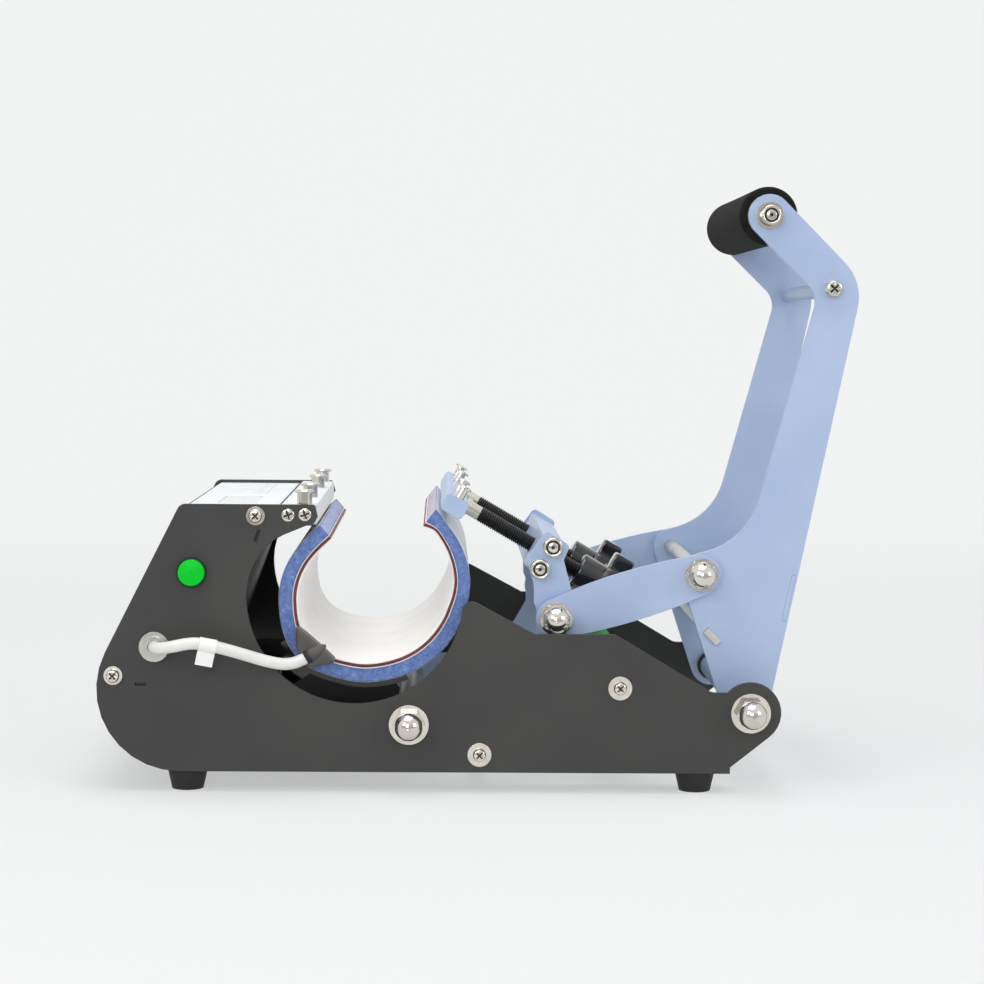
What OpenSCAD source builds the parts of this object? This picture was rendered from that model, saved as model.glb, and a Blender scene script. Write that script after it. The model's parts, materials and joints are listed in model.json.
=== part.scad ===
// Tumbler heat press, in millimetres.
// Two bent steel side plates carry a control box, a heated wrap and an over-centre lever.
// Links from the lever pull a yoke, whose tension bar closes the mouth of the wrap.
// X runs from the control box to the lever, Y into the depth and Z up.
// The origin is under the middle of the open machine, on the surface that the feet stand on.

/* [Frame] */
// Width over the outer faces of the side plates
body_w = 240; // [210:1:270]
// Length of a side plate, from its round front to the ear at the lever shaft
plate_len = 411.8; // [395:0.1:430]
// Height of a side plate
plate_h = 161; // [155:0.5:170]
// Thickness of a side plate
plate_t = 3; // [2:0.1:4]
// Width of the flange bent in along the foot of a side plate
flange_w = 27; // [25:0.5:30]
// Radius of the round front corner
nose_r = 49.5; // [45:0.5:51]
// Radius of the ear round the lever shaft
ear_r = 18.5; // [17:0.1:20]
// Radius of the bay that the heated wrap lies in
bay_r = 65; // [63:0.1:66]
// Radius at the upper left of the bay
bay_lip_r = 42; // [38:0.5:44]
// Width of the tie rods between the side plates
tie_d = 10; // [8:0.1:11]
// Outer width of the sleeve on the rear tie rod
sleeve_d = 21; // [18:0.1:22]

/* [Feet] */
// Height of a rubber foot
foot_h = 12.5; // [8:0.1:16]
// Width of a foot at its top
foot_top_d = 24.7; // [22:0.1:26]
// Width of a foot at its bottom
foot_bottom_d = 19; // [16:0.1:21]
// Distance from the middle of the machine to the middle of a foot
foot_y = 105; // [103:0.1:106]

/* [Fasteners] */
// Width of the lever shaft, the yoke shaft and the pins of the links
pivot_d = 10; // [8:0.1:10.4]
// Width over the flats of an acorn nut
acorn_af = 17; // [15:0.1:18]
// Height of an acorn nut on a shaft
acorn_h = 16; // [13:0.1:18]
// Height of an acorn nut on a link
link_acorn_h = 14; // [12:0.1:15]
// Width of the washers on the shafts
pivot_washer_d = 24; // [20:0.5:26]
// Thickness of the washers on the shafts
pivot_washer_t = 2; // [1:0.1:2.5]
// Width of the washers on the links
link_washer_d = 20; // [19:0.5:22]
// Thickness of the washers on the links
link_washer_t = 1.5; // [1:0.1:2]
// Width of the head of a plate screw
screw_head_d = 8; // [7:0.1:9]
// Height of the head of a plate screw
screw_head_h = 2.8; // [2:0.1:3.5]
// Width of the washer of a tie rod's screw
screw_washer_d = 14.4; // [10:0.1:15]
// Width of the washer of a cover screw
cover_washer_d = 11.2; // [9:0.1:13]
// Width of the shank of a plate screw
screw_d = 4; // [3:0.1:5]
// Width of a countersunk head
sunk_head_d = 7.5; // [7:0.1:8.5]

/* [Lever] */
// Width over the outer faces of the two lever plates
arm_w = 190; // [180:1:196]
// Thickness of the plates of the lever, the links and the yoke
arm_t = 4; // [3:0.1:4.5]
// Distance from the lever shaft to the middle of the grip
lever_len = 300; // [280:1:320]
// Radius of the lever plates round their shaft
hub_r = 14; // [12:0.1:15]
// Radius of the lever plates round the grip
grip_end_r = 13; // [12:0.1:14.5]
// Radius of the lever plates round the crank rod
crank_r = 12.5; // [11.5:0.1:13.5]
// Outer radius at the knee of the lever plates
knee_r = 30; // [24:1:34]
// Radius of the inner knee
inner_knee_r = 15; // [10:0.5:18]
// Radius of the hollow above the crank rod
hollow_r = 45; // [35:1:50]
// Width of the foam grip
grip_d = 35; // [32:0.1:38]
// Width of the bar inside the grip
grip_bar_d = 20; // [18:0.1:22]
// Width of the upper tie rod
upper_tie_d = 10.5; // [8:0.1:11]
// Width of the flat cross bar
cross_bar_w = 11; // [9:0.1:13]
// Thickness of the flat cross bar
cross_bar_t = 4.4; // [3:0.1:5]
// Thickness of the web behind the lever
web_t = 2.4; // [2:0.1:3]
// Height of the web behind the lever
web_h = 48; // [40:1:52]

/* [Links] */
// Radius of the ends of a link
link_end_r = 12.3; // [11.5:0.1:13]
// How far each edge of a link swells at its middle
link_swell = 3; // [1:0.1:4]

/* [Yoke] */
// Outer width of the hub tubes round the two shafts
hub_tube_d = 16; // [14:0.1:18]
// Outer width of the spacers beside the hubs
spacer_d = 14; // [13:0.1:18]
// Radius of the yoke plates round their shaft
yoke_hub_r = 13; // [12:0.1:14]
// Radius of the yoke plates round the cross rod
yoke_pin_r = 15; // [13:0.1:16]
// Size of the cross block along the threaded rods
block_l = 16.5; // [14:0.1:18]
// Size of the cross block across the threaded rods
block_h = 22; // [20:0.1:31]
// Distance between the two socket screws at each end of the cross block
block_screw_span = 15.5; // [14:0.1:17]

/* [Tension bar] */
// Tilt of the threaded rods with the lever open, in degrees
rod_tilt = 30; // [25:1:35]
// Distance from the cross block's middle to the tension bar's middle
bar_reach = 65; // [60:0.5:70]
// Length of the tension bar
bar_len = 230; // [200:1:232]
// Size of the tension bar along the rods
bar_l = 15; // [13:0.1:16]
// Size of the tension bar across the rods
bar_h = 11; // [10:0.1:12]
// Width of a threaded rod
rod_d = 10; // [8:0.1:11]
// Width of the journal that turns in the tension bar
journal_d = 7; // [5:0.1:7.5]
// Distance between the two threaded rods
rod_span = 100; // [90:1:110]
// Width of a star knob over its lobes
knob_d = 47; // [42:0.5:50]
// Height of a star knob's head
knob_head_h = 13.5; // [10:0.5:15]
// Width of a star knob's hub
knob_hub_d = 24; // [22:0.5:26]
// Length of a star knob's hub
knob_hub_h = 16; // [14:0.5:20]
// Distance between the cross block and a star knob
knob_reach = 15.7; // [12:0.1:20]

/* [Hooks] */
// Width of the head of a post on the hook bar
hook_head_d = 12; // [10.5:0.1:13]
// Width of the stem of a post on the hook bar
hook_stem_d = 9; // [7:0.1:10]
// Height of a post above the hook bar
hook_h = 9; // [7:0.1:11]
// Distance from the middle to the inner posts
hook_inner_y = 46; // [40:0.5:50]
// Distance from the middle to the outer posts
hook_outer_y = 110.5; // [90:0.5:111]

/* [Heated wrap] */
// Outer radius of the wrap
wrap_r = 56.5; // [55:0.1:57.5]
// Length of the wrap
wrap_len = 230; // [200:1:232]
// Thickness of the sponge
sponge_t = 8.8; // [7:0.1:10]
// Thickness of the heating mat
mat_t = 1.8; // [1:0.1:2.5]
// Thickness of the liner
liner_t = 1; // [0.6:0.1:1.5]
// Thickness of the cradle's sheet
cradle_t = 1.5; // [1:0.1:2]
// Length of the cradle
cradle_len = 200; // [180:1:210]
// Depth of the lips at the cradle's ends
cradle_lip = 5.2; // [3:0.1:6]

/* [Control box] */
// Thickness of the box's sheets
sheet_t = 1.5; // [1:0.1:2]
// How far the cover lies inside the edge of the side plates
cover_inset = 0.5; // [0.3:0.1:1]
// How far the cover's top lies below the top of the side plates
cover_drop = 3.2; // [1:0.1:4]
// Thickness of the top panel
panel_t = 1.2; // [0.8:0.1:1.5]
// Size of the display window along the machine
window_l = 24; // [18:1:28]
// Size of the display window across the machine
window_w = 62; // [50:1:70]
// Size of the keypad across the machine
keypad_w = 96; // [80:1:110]
// Width of the power button's bezel
bezel_d = 17.4; // [16:0.1:20]
// Width of the power button's cap
cap_d = 16.2; // [14:0.1:16.3]
// Travel of the power button
cap_travel = 3; // [2:0.1:3.5]
// Width of the heater lead
lead_d = 7.2; // [6:0.1:8]
// Width of the nut on the heater lead's gland
gland_d = 18; // [16:0.1:20]
// Width of the mains inlet's flange
inlet_w = 24; // [23:0.1:25]
// Height of the mains inlet's flange
inlet_h = 49; // [48:0.5:51]

/* [Hidden] */
$fn = 48;

// Running clearance of a shaft in its bore, on the radius
fit = 0.05;
// Gap between faces that pass each other
gap = 0.3;
// Overrun of a cut
over = 1;

// Half widths of the frame, to its outer and inner faces
half_w = body_w / 2;
inner_y = half_w - plate_t;
// Outer and inner faces of the lever and yoke plates, and of the links beside them
arm_y1 = arm_w / 2;
arm_y0 = arm_y1 - arm_t;
link_y0 = arm_y1 + gap;
link_y1 = link_y0 + arm_t;
pivot_r = pivot_d / 2;

// Plane geometry in X and Z
function unit(v) = v / norm(v);
function left(v) = [-v[1], v[0]];
function polar(c, r, a) = [c[0] + r * cos(a), c[1] + r * sin(a)];
function heading(v) = atan2(v[1], v[0]);
function arc(c, r, a0, a1, n) = [for (i = [0:n]) polar(c, r, a0 + (a1 - a0) * i / n)];
// Angle on a circle where a line from point p touches it, on the side that sign names
function touch(c, r, p, sign) = heading(p - c) + sign * acos(r / norm(p - c));
// Middle of the fillet of radius r at point b, between points a and c
function fillet_middle(a, b, c, r) =
    let (u = unit(a - b), v = unit(c - b), half = acos(u * v) / 2)
    b + unit(u + v) * r / sin(half);
function short_turn(t) = t > 180 ? t - 360 : t < -180 ? t + 360 : t;
function fillet(a, b, c, r, n) =
    let (u = unit(a - b), v = unit(c - b), half = acos(u * v) / 2, m = fillet_middle(a, b, c, r))
    let (a0 = heading(b + u * r / tan(half) - m), a1 = heading(b + v * r / tan(half) - m))
    arc(m, r, a0, a0 + short_turn(a1 - a0), n);
function flat(p) = [p[0], p[1]];
// Outline through points [x, z, r], where r rounds the corner; a point [x, z] stays sharp
function rounded(pts, n = 6) = [
    for (i = [0:len(pts) - 1])
        let (k = len(pts), a = flat(pts[(i + k - 1) % k]), b = pts[i], c = flat(pts[(i + 1) % k]))
        each len(b) < 3 ? [b] : fillet(a, flat(b), c, b[2], n)
];
// A path moved to its left by t, and the strip between the two
function moved(pts, t) = [
    for (i = [0:len(pts) - 1])
        let (last = len(pts) - 1)
        let (u = unit(i == 0 ? pts[1] - pts[0] : pts[i] - pts[i - 1]))
        let (v = unit(i == last ? pts[last] - pts[last - 1] : pts[i + 1] - pts[i]))
        let (n = unit(left(u) + left(v)))
        pts[i] + n * t / (n * left(v))
];
function backwards(pts) = [for (i = [len(pts) - 1:-1:0]) pts[i]];
function strip(pts, t) = concat(pts, backwards(moved(pts, t)));
function turned(p, c, a) =
    c + [(p - c)[0] * cos(a) - (p - c)[1] * sin(a), (p - c)[0] * sin(a) + (p - c)[1] * cos(a)];

// Lever plate, in its own frame: shares of lever_len from the lever shaft, lever open
knee_share = [0.2257, 0.8677];
grip_share = [0.0337, 0.9994];
inner_knee_share = [0.1347, 0.8407];
hollow_share = [-0.0007, 0.341];
crank_share = [-0.095, 0.2717];
upper_tie_share = [0.1653, 0.8533];
cross_bar_share = [-0.0703, 0.1437];
web_foot_share = [0.0703, 0.175];
knee = lever_len * knee_share;
grip = lever_len * grip_share;
inner_knee = lever_len * inner_knee_share;
hollow = lever_len * hollow_share;
crank = lever_len * crank_share;
shaft = [0, 0];
lever_pts = concat(
    arc(shaft, hub_r, heading(crank) + acos((hub_r - crank_r) / norm(crank)),
        360 + touch(shaft, hub_r, knee, -1), 12),
    [concat(knee, [knee_r])],
    arc(grip, grip_end_r, touch(grip, grip_end_r, knee, 1),
        360 + touch(grip, grip_end_r, inner_knee, -1), 14),
    [concat(inner_knee, [inner_knee_r]), concat(hollow, [hollow_r])],
    arc(crank, crank_r, touch(crank, crank_r, hollow, 1),
        heading(crank) + acos((hub_r - crank_r) / norm(crank)), 10)
);
lever_outline = rounded(lever_pts, 8);
lever_reach = max([for (p = lever_outline) p[0]]);

// Side plate: shares of its length and height, from its lower front corner
lever_pivot_share = [0.9551, 0.2298];
yoke_pivot_share = [0.4548, 0.1801];
nose_share = [-0.0743, 0];
top_front_share = [0.1212, 1];
tip_shares = [[0.3164, 1], [0.3208, 0.9553], [0.313, 0.9224], [0.3043, 0.9224], [0.271, 0.887],
              [0.2632, 0.8758]];
bay_share = [0.3752, 0.6609];
peak_share = [0.533, 0.664];
shoulder_share = [0.6374, 0.5217];
saddle_share = [0.7547, 0.5224];
ear_foot_share = [0.8982, 0.305];
heel_share = [0.9259, 0.0236];
tie_shares = [[0.5583, 0.0677], [0.7632, 0.3211]];
cover_screw_shares = [[0.2307, 0.9578], [0.0245, 0.3584]];
sunk_shares = [[0.2776, 0.9609], [0.3021, 0.9627]];
gland_share = [0.0845, 0.4683];
button_share = [0.1382, 0.746];
inlet_share = [0.107, 0.52];
fuse_share = [0.148, 0.79];
foot_shares = [0.1294, 0.8778];
tray_floor_share = 0.3217;
tray_corner_share = 0.1591;
tray_top_share = 0.2462;
hook_bar_shares = [[0.2669, 0.9255], [0.3185, 0.9969]];
hook_post_share = 0.3004;

// The open machine is centred on X = 0
plate_x0 = -(lever_pivot_share[0] * plate_len + lever_reach) / 2;
function on_plate(s) = [plate_x0 + s[0] * plate_len, foot_h + s[1] * plate_h];
o1 = on_plate(lever_pivot_share);
o2 = on_plate(yoke_pivot_share);
nose = on_plate(nose_share);
top_front = on_plate(top_front_share);
nose_middle = fillet_middle([0, nose[1]], nose, top_front, nose_r);
bay = on_plate(bay_share);
bay_lip = bay - [bay_r - bay_lip_r, 0];
tips = [for (s = tip_shares) on_plate(s)];
heel = on_plate(heel_share);
ear_foot = on_plate(ear_foot_share);
top_r = 5;
tip_r = 1.5;
peak_r = 6;
shoulder_r = 2;
ear_foot_r = 8;
bay_end_a = 350;
plate_pts = concat(
    [concat(nose, [nose_r]), concat(top_front, [top_r]), concat(tips[0], [tip_r])],
    [for (i = [1:len(tips) - 1]) tips[i]],
    arc(bay_lip, bay_lip_r, heading(tips[5] - bay_lip) + 2, 180, 6),
    arc(bay, bay_r, 184, bay_end_a, 30),
    [concat(on_plate(peak_share), [peak_r]), concat(on_plate(shoulder_share), [shoulder_r]),
     concat(on_plate(saddle_share), [shoulder_r]), concat(ear_foot, [ear_foot_r])],
    arc(o1, ear_r, 180 - asin((ear_foot - o1)[1] / ear_r), touch(o1, ear_r, heel, 1), 16),
    [heel, [heel[0], foot_h]]
);
plate_outline = rounded(plate_pts, 10);

// Linkage with the lever open, in the machine's frame
function on_lever(s) = o1 + lever_len * s;
a_pin = on_lever(crank_share);
pin_share = [0.54, 0.0769];
b_pin = o2 + pin_share[0] * (a_pin - o2) + pin_share[1] * left(a_pin - o2);
// Turn that brings the lever shaft, the crank rod and the link into one line
reach_a = norm(a_pin - o1) + norm(b_pin - a_pin);
span = norm(o2 - o1);
yoke_len = norm(b_pin - o2);
dead_a = heading(o2 - o1) - acos((span * span + reach_a * reach_a - yoke_len * yoke_len)
    / (2 * span * reach_a));
lever_turn = short_turn(dead_a - heading(a_pin - o1));
b_dead = polar(o1, reach_a, dead_a);
yoke_turn = short_turn(heading(b_dead - o2) - heading(b_pin - o2));
link_turn = short_turn(heading(b_dead - polar(o1, norm(a_pin - o1), dead_a))
    - heading(b_pin - a_pin)) - lever_turn;
echo(o1 = o1, o2 = o2, a_pin = a_pin, b_pin = b_pin);
echo(lever_turn = lever_turn, yoke_turn = yoke_turn, link_turn = link_turn);

// Yoke: shares of yoke_len along and beside the line from its shaft to the cross rod
function on_yoke(s) = o2 + s[0] * (b_pin - o2) + s[1] * left(b_pin - o2);
block_share = [1.1481, 0.3119];
yoke_top_shares = [[1.0538, 0.3745], [1.2323, 0.4389], [1.2966, 0.2908], [1.222, 0.245],
                   [1.1581, 0.0694]];
yoke_left_shares = [[0.8574, -0.0188], [0.9386, 0.1043], [0.9464, 0.1394], [1.0032, 0.2244],
                    [1.0292, 0.3019]];
yoke_corner_r = 3;
block = on_yoke(block_share);
rod_dir = [cos(rod_tilt), -sin(rod_tilt)];
rod_side = left(rod_dir);
bar = block - bar_reach * rod_dir;

// Wrap: its middle is set off from the bay's, in shares of the bay's radius
wrap_shift_share = [0.171, 0.071];
wrap = bay + bay_r * wrap_shift_share;
wrap_a0 = 131;
wrap_a1 = 412;
wrap_step = 6;
// How the wrap's outer radius departs from a circle
tip_tuck_share = 0.12;
bulge_share = 0.105;
bulge_a = 222;
bulge_spread = 26;
droop_share = 0.01;
droop_a = 300;
droop_spread = 30;
belly_share = 0.012;
belly_a = 262;
belly_spread = 12;
flare_share = 0.028;
tip_flare_share = 0.04;
// How much thinner the layers get towards the right tip
thin_share = 0.27;
function ramp(x) = min(1, max(0, x));
function ease(x) = pow(ramp(x), 2) * (3 - 2 * ramp(x));
function hump(a, middle, spread) = exp(-pow((a - middle) / spread, 2));
function wrap_out(a) = wrap_r * (1 - tip_tuck_share * ease((190 - a) / 58)
    + bulge_share * hump(a, bulge_a, bulge_spread) - droop_share * hump(a, droop_a, droop_spread)
    + belly_share * hump(a, belly_a, belly_spread) + flare_share * ramp((a - 345) / 20)
    + tip_flare_share * pow(ramp((a - 396) / 16), 2));
function wrap_thin(a) = 1 - thin_share * ramp((a - 330) / 75);
// Band round the wrap's middle, from d0 to d1 outside its outer face
function band(d0, d1, a0, a1, n) = concat(
    [for (i = [0:n]) let (a = a0 + (a1 - a0) * i / n) polar(wrap, wrap_out(a) + d1, a)],
    [for (i = [n:-1:0]) let (a = a0 + (a1 - a0) * i / n) polar(wrap, wrap_out(a) + d0, a)]
);
wrap_n = ceil((wrap_a1 - wrap_a0) / wrap_step);

// Solids: a plate in X and Z from depth y0, and a round bar along Y
module slab(pts, y0, t) {
    translate([0, y0 + t, 0]) rotate([90, 0, 0]) linear_extrude(t) polygon(pts);
}
module round_bar(c, r, y0, y1) {
    translate([c[0], y0, c[1]]) rotate([-90, 0, 0]) cylinder(h = y1 - y0, r = r);
}
module both_sides() {
    children();
    mirror([0, 1, 0]) children();
}
// Places children at c on the far side, their Z axis pointing outwards from depth y
module outwards(c, y) {
    translate([c[0], y, c[1]]) rotate([-90, 0, 0]) children();
}
// Places children at depth y with X along the threaded rods and Z across them
module along_rods(c, y) {
    translate([c[0], y, c[1]]) rotate([0, rod_tilt, 0]) children();
}
// Round bar along the threaded rods, from s0 to s1 past the block's middle
module rod_part(y, r, s0, s1) {
    along_rods(block, y) translate([s0, 0, 0]) rotate([0, 90, 0]) cylinder(h = s1 - s0, r = r);
}

// Acorn nut on its Z axis: hexagon, dome and blind bore
acorn_dome_share = 0.5;
acorn_hex_share = 0.5;
acorn_bore_share = 0.7;
module acorn(h) {
    dome_r = acorn_af * acorn_dome_share;
    difference() {
        union() {
            cylinder(h = h * acorn_hex_share, d = acorn_af / cos(30), $fn = 6);
            translate([0, 0, h - dome_r]) sphere(r = dome_r);
        }
        translate([0, 0, -over]) cylinder(h = h * acorn_bore_share + over, r = pivot_r);
        translate([0, 0, -acorn_af]) cube([2 * acorn_af, 2 * acorn_af, 2 * acorn_af], center = true);
    }
}
module washer(d, bore_r, t) {
    difference() {
        cylinder(h = t, d = d);
        translate([0, 0, -over]) cylinder(h = t + 2 * over, r = bore_r);
    }
}
// Pan head with a cross recess, on the face at Z = 0, its shank going down
recess_w_share = 0.16;
recess_l_share = 0.62;
recess_h_share = 0.55;
head_crown_share = 0.8;
module pan_screw(head_d, head_h, shank_d, shank_l) {
    difference() {
        union() {
            cylinder(h = head_h * recess_h_share, d = head_d);
            translate([0, 0, head_h * recess_h_share])
                cylinder(h = head_h * (1 - recess_h_share), d1 = head_d, d2 = head_d * head_crown_share);
            translate([0, 0, -shank_l]) cylinder(h = shank_l + head_h / 2, d = shank_d);
        }
        for (a = [0, 90])
            rotate([0, 0, a + 45]) translate([0, 0, head_h])
                cube([head_d * recess_l_share, head_d * recess_w_share, head_h], center = true);
    }
}
// Cap screw with a hexagon socket
module socket_screw(head_d, head_h, shank_d, shank_l) {
    difference() {
        union() {
            cylinder(h = head_h, d = head_d);
            translate([0, 0, -shank_l]) cylinder(h = shank_l + head_h / 4, d = shank_d);
        }
        translate([0, 0, head_h / 2]) cylinder(h = head_h, d = head_d / 2, $fn = 6);
    }
}

// Side plates
foot_flange_x0 = nose_middle[0];
heel_x = heel[0];
flange_back = 2.5;
foot_bolt_d = 4.2;
module side_plate(near) {
    side = near ? -1 : 1;
    color("#4c4c4a") scale([1, side, 1]) difference() {
        union() {
            slab(plate_outline, inner_y, plate_t);
            translate([foot_flange_x0, half_w - flange_w, foot_h])
                cube([heel_x - flange_back - foot_flange_x0, flange_w, plate_t]);
        }
        for (c = [o1, o2]) round_bar(c, pivot_r + fit, inner_y - over, half_w + over);
        for (s = concat(tie_shares, cover_screw_shares))
            round_bar(on_plate(s), screw_d / 2 + fit, inner_y - over, half_w + over);
        for (s = sunk_shares) {
            round_bar(on_plate(s), screw_d / 2 + fit, inner_y - over, half_w + over);
            outwards(on_plate(s), half_w - sunk_h)
                cylinder(h = sunk_h + fit, d1 = screw_d + fit, d2 = sunk_head_d + 2 * fit);
        }
        for (s = foot_shares)
            translate([on_plate([s, 0])[0], foot_y, foot_h - over])
                cylinder(h = plate_t + 2 * over, d = foot_bolt_d);
        slab(strip(tab_line(wall_tab_shares, slot_ease), sheet_t + 2 * slot_ease), inner_y - over,
            plate_t + 2 * over);
        slab(strip(floor_line(floor_tab_shares, slot_ease), sheet_t + 2 * slot_ease), inner_y - over,
            plate_t + 2 * over);
        if (near) {
            round_bar(on_plate(gland_share), gland_barrel_r + fit, inner_y - over, half_w + over);
            round_bar(on_plate(button_share), bezel_d / 2 - bezel_rim + fit, inner_y - over,
                half_w + over);
        } else {
            translate([on_plate(inlet_share)[0], half_w, on_plate(inlet_share)[1]])
                cube([inlet_body_w + 2 * slot_ease, plate_t * 4, inlet_body_h + 2 * slot_ease],
                    center = true);
            round_bar(on_plate(fuse_share), fuse_r + fit, inner_y - over, half_w + over);
            for (s = [-1, 1])
                round_bar(on_plate(inlet_share) + [0, s * inlet_screw_span / 2], inlet_screw_r + fit,
                    inner_y - over, half_w + over);
        }
    }
}
module side_plate_near() { side_plate(true); }
module side_plate_far() { side_plate(false); }

tie_r = tie_d / 2;
tie_thread_l = 14;
module tie_rods() {
    color("silver") for (s = tie_shares) difference() {
        round_bar(on_plate(s), tie_r, -inner_y, inner_y);
        both_sides() round_bar(on_plate(s), screw_d / 2, inner_y - tie_thread_l, inner_y + over);
    }
}
sleeve_len_share = 0.9;
module rod_sleeve() {
    color("#00b32c") difference() {
        round_bar(on_plate(tie_shares[1]), sleeve_d / 2, -inner_y * sleeve_len_share,
            inner_y * sleeve_len_share);
        round_bar(on_plate(tie_shares[1]), tie_r + fit, -half_w, half_w);
    }
}

foot_sink_h_share = 0.55;
foot_bolt_head_d = 8;
foot_bolt_head_h = 3;
foot_nut_h = 3;
module at_feet() {
    for (s = foot_shares, y = [-foot_y, foot_y]) translate([on_plate([s, 0])[0], y, 0]) children();
}
module feet() {
    color("#262626") at_feet() difference() {
        cylinder(h = foot_h, d1 = foot_bottom_d, d2 = foot_top_d);
        translate([0, 0, -over]) cylinder(h = foot_h + 2 * over, d = foot_bolt_d);
        translate([0, 0, -over])
            cylinder(h = foot_h * foot_sink_h_share + over, d = foot_bolt_head_d + 2 * gap);
    }
}
module foot_screws() {
    color("silver") at_feet() {
        translate([0, 0, foot_h * foot_sink_h_share - foot_bolt_head_h])
            cylinder(h = foot_bolt_head_h, d = foot_bolt_head_d);
        translate([0, 0, foot_h * foot_sink_h_share - foot_bolt_head_h])
            cylinder(h = foot_h * (1 - foot_sink_h_share) + foot_bolt_head_h + plate_t + 2 * foot_nut_h,
                d = foot_bolt_d - 2 * fit);
        translate([0, 0, foot_h + plate_t]) cylinder(h = foot_nut_h, d = foot_bolt_head_d, $fn = 6);
    }
}

// Shafts of the lever and the yoke, and what holds them
shaft_end = half_w + pivot_washer_t + acorn_h * acorn_bore_share - over;
module lever_shaft() { color("silver") round_bar(o1, pivot_r, -shaft_end, shaft_end); }
module yoke_shaft() { color("silver") round_bar(o2, pivot_r, -shaft_end, shaft_end); }
module pivot_spacers() {
    color("#232323") both_sides() for (c = [o1, o2])
        outwards(c, link_y0) washer(spacer_d, pivot_r + fit, inner_y - link_y0);
}
module pivot_washers() {
    color("silver") both_sides() for (c = [o1, o2])
        outwards(c, half_w) washer(pivot_washer_d, pivot_r + fit, pivot_washer_t);
}
module pivot_acorn_nuts() {
    color("gainsboro") both_sides() for (c = [o1, o2])
        outwards(c, half_w + pivot_washer_t) acorn(acorn_h);
}

screw_washer_t = 1;
screw_l = 9;
module plate_screws() {
    color("silver") both_sides() {
        for (s = tie_shares)
            outwards(on_plate(s), half_w) cylinder(h = screw_washer_t, d = screw_washer_d);
        for (s = cover_screw_shares)
            outwards(on_plate(s), half_w) cylinder(h = screw_washer_t, d = cover_washer_d);
        for (s = concat(tie_shares, cover_screw_shares)) outwards(on_plate(s), half_w + screw_washer_t)
            pan_screw(screw_head_d, screw_head_h, screw_d, screw_l + screw_washer_t);
    }
}
sunk_h = 2;
sunk_l = 12;
sunk_slot_h = 0.8;
module countersunk_screws() {
    color("silver") both_sides() for (s = sunk_shares) outwards(on_plate(s), half_w - sunk_h)
        difference() {
            union() {
                cylinder(h = sunk_h, d1 = screw_d, d2 = sunk_head_d);
                translate([0, 0, sunk_h - sunk_l]) cylinder(h = sunk_l - sunk_h / 2, d = screw_d);
            }
            for (a = [0, 90]) rotate([0, 0, a + 20]) translate([0, 0, sunk_h])
                cube([sunk_head_d * recess_l_share, sunk_head_d * recess_w_share, 2 * sunk_slot_h],
                    center = true);
        }
}

// Control box: cover outside, tray inside, panel on top
cover_right = tray_top_share + 0.0173;
slope_a = heading(left(top_front - nose));
cover_end_a = 180;
top_middle = fillet_middle(tips[0], top_front, nose, top_r);
cover_top_z = top_front[1] - cover_drop;
slope_end = polar(nose_middle, nose_r - cover_inset, slope_a);
slope_dir = unit(top_front - nose);
cover_edge = [on_plate([cover_right, 0])[0], cover_top_z];
cover_corner = slope_end + slope_dir * (cover_top_z - slope_end[1]) / slope_dir[1];
cover_path = concat(
    [cover_edge],
    fillet(cover_edge, cover_corner, slope_end, top_r - cover_inset, 6),
    arc(nose_middle, nose_r - cover_inset, slope_a, cover_end_a, 8)
);
cover_ceiling = cover_top_z - sheet_t;
// Tabs of the cover that take the plate screws, as offsets from the screws
tab_w = 8;
tab_drop = 5;
tab_slant = 2.5;
module cover_tab(s, lean, rise, drop) {
    c = on_plate(s);
    slab([c + [-tab_w, rise], c + [-tab_w, -drop], c + [tab_slant * lean, -drop],
        c + [tab_slant, rise]], inner_y - sheet_t, sheet_t);
}
module box_cover() {
    color("#4c4c4a") difference() {
        union() {
            slab(strip(cover_path, sheet_t), -inner_y, 2 * inner_y);
            both_sides() {
                cover_tab(cover_screw_shares[0], -1,
                    cover_ceiling + sheet_t / 2 - on_plate(cover_screw_shares[0])[1], tab_drop);
                cover_tab(cover_screw_shares[1], 4, tab_drop,
                    on_plate(cover_screw_shares[1])[1] - tray_floor_z - sheet_t - seam);
            }
        }
        both_sides() for (s = cover_screw_shares)
            round_bar(on_plate(s), screw_d / 2 + fit, inner_y - 2 * sheet_t, inner_y + over);
    }
}

// The tray's floor and sloped wall, as points on the lower face of the sheet
tray_floor_z = on_plate([0, tray_floor_share])[1];
tray_corner = [on_plate([tray_corner_share, 0])[0], tray_floor_z];
seam = 0.2;
// The wall's square-cut end clears the cover's ceiling by this drop
wall_end_drop = 0.7;
tray_top = [on_plate([tray_top_share, 0])[0], cover_ceiling - wall_end_drop];
tray_left = nose_middle[0] - sqrt(pow(nose_r - cover_inset - sheet_t, 2)
    - pow(tray_floor_z + sheet_t - nose_middle[1], 2)) + seam;
slot_ease = 0.15;
// Stretches of the wall and the floor that reach through slots in the side plates
wall_tab_shares = [0.836, 0.902];
floor_tab_shares = [0.332, 0.43];
function tab_line(s, ease) =
    let (u = unit(tray_top - tray_corner), p = tray_corner - ease * left(u))
    [p + s[0] * (tray_top - tray_corner) - ease * u, p + s[1] * (tray_top - tray_corner) + ease * u];
function floor_line(s, ease) =
    let (l = tray_corner[0] - tray_left)
    [[tray_left + s[0] * l - ease, tray_floor_z - ease],
     [tray_left + s[1] * l + ease, tray_floor_z - ease]];
module box_tray() {
    color("#3a3a39") {
        slab(strip([[tray_left, tray_floor_z], tray_corner, tray_top], sheet_t), -inner_y, 2 * inner_y);
        both_sides() {
            slab(strip(tab_line(wall_tab_shares, 0), sheet_t), inner_y - sheet_t, plate_t);
            slab(strip(floor_line(floor_tab_shares, 0), sheet_t), inner_y - sheet_t, plate_t);
        }
    }
}

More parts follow.
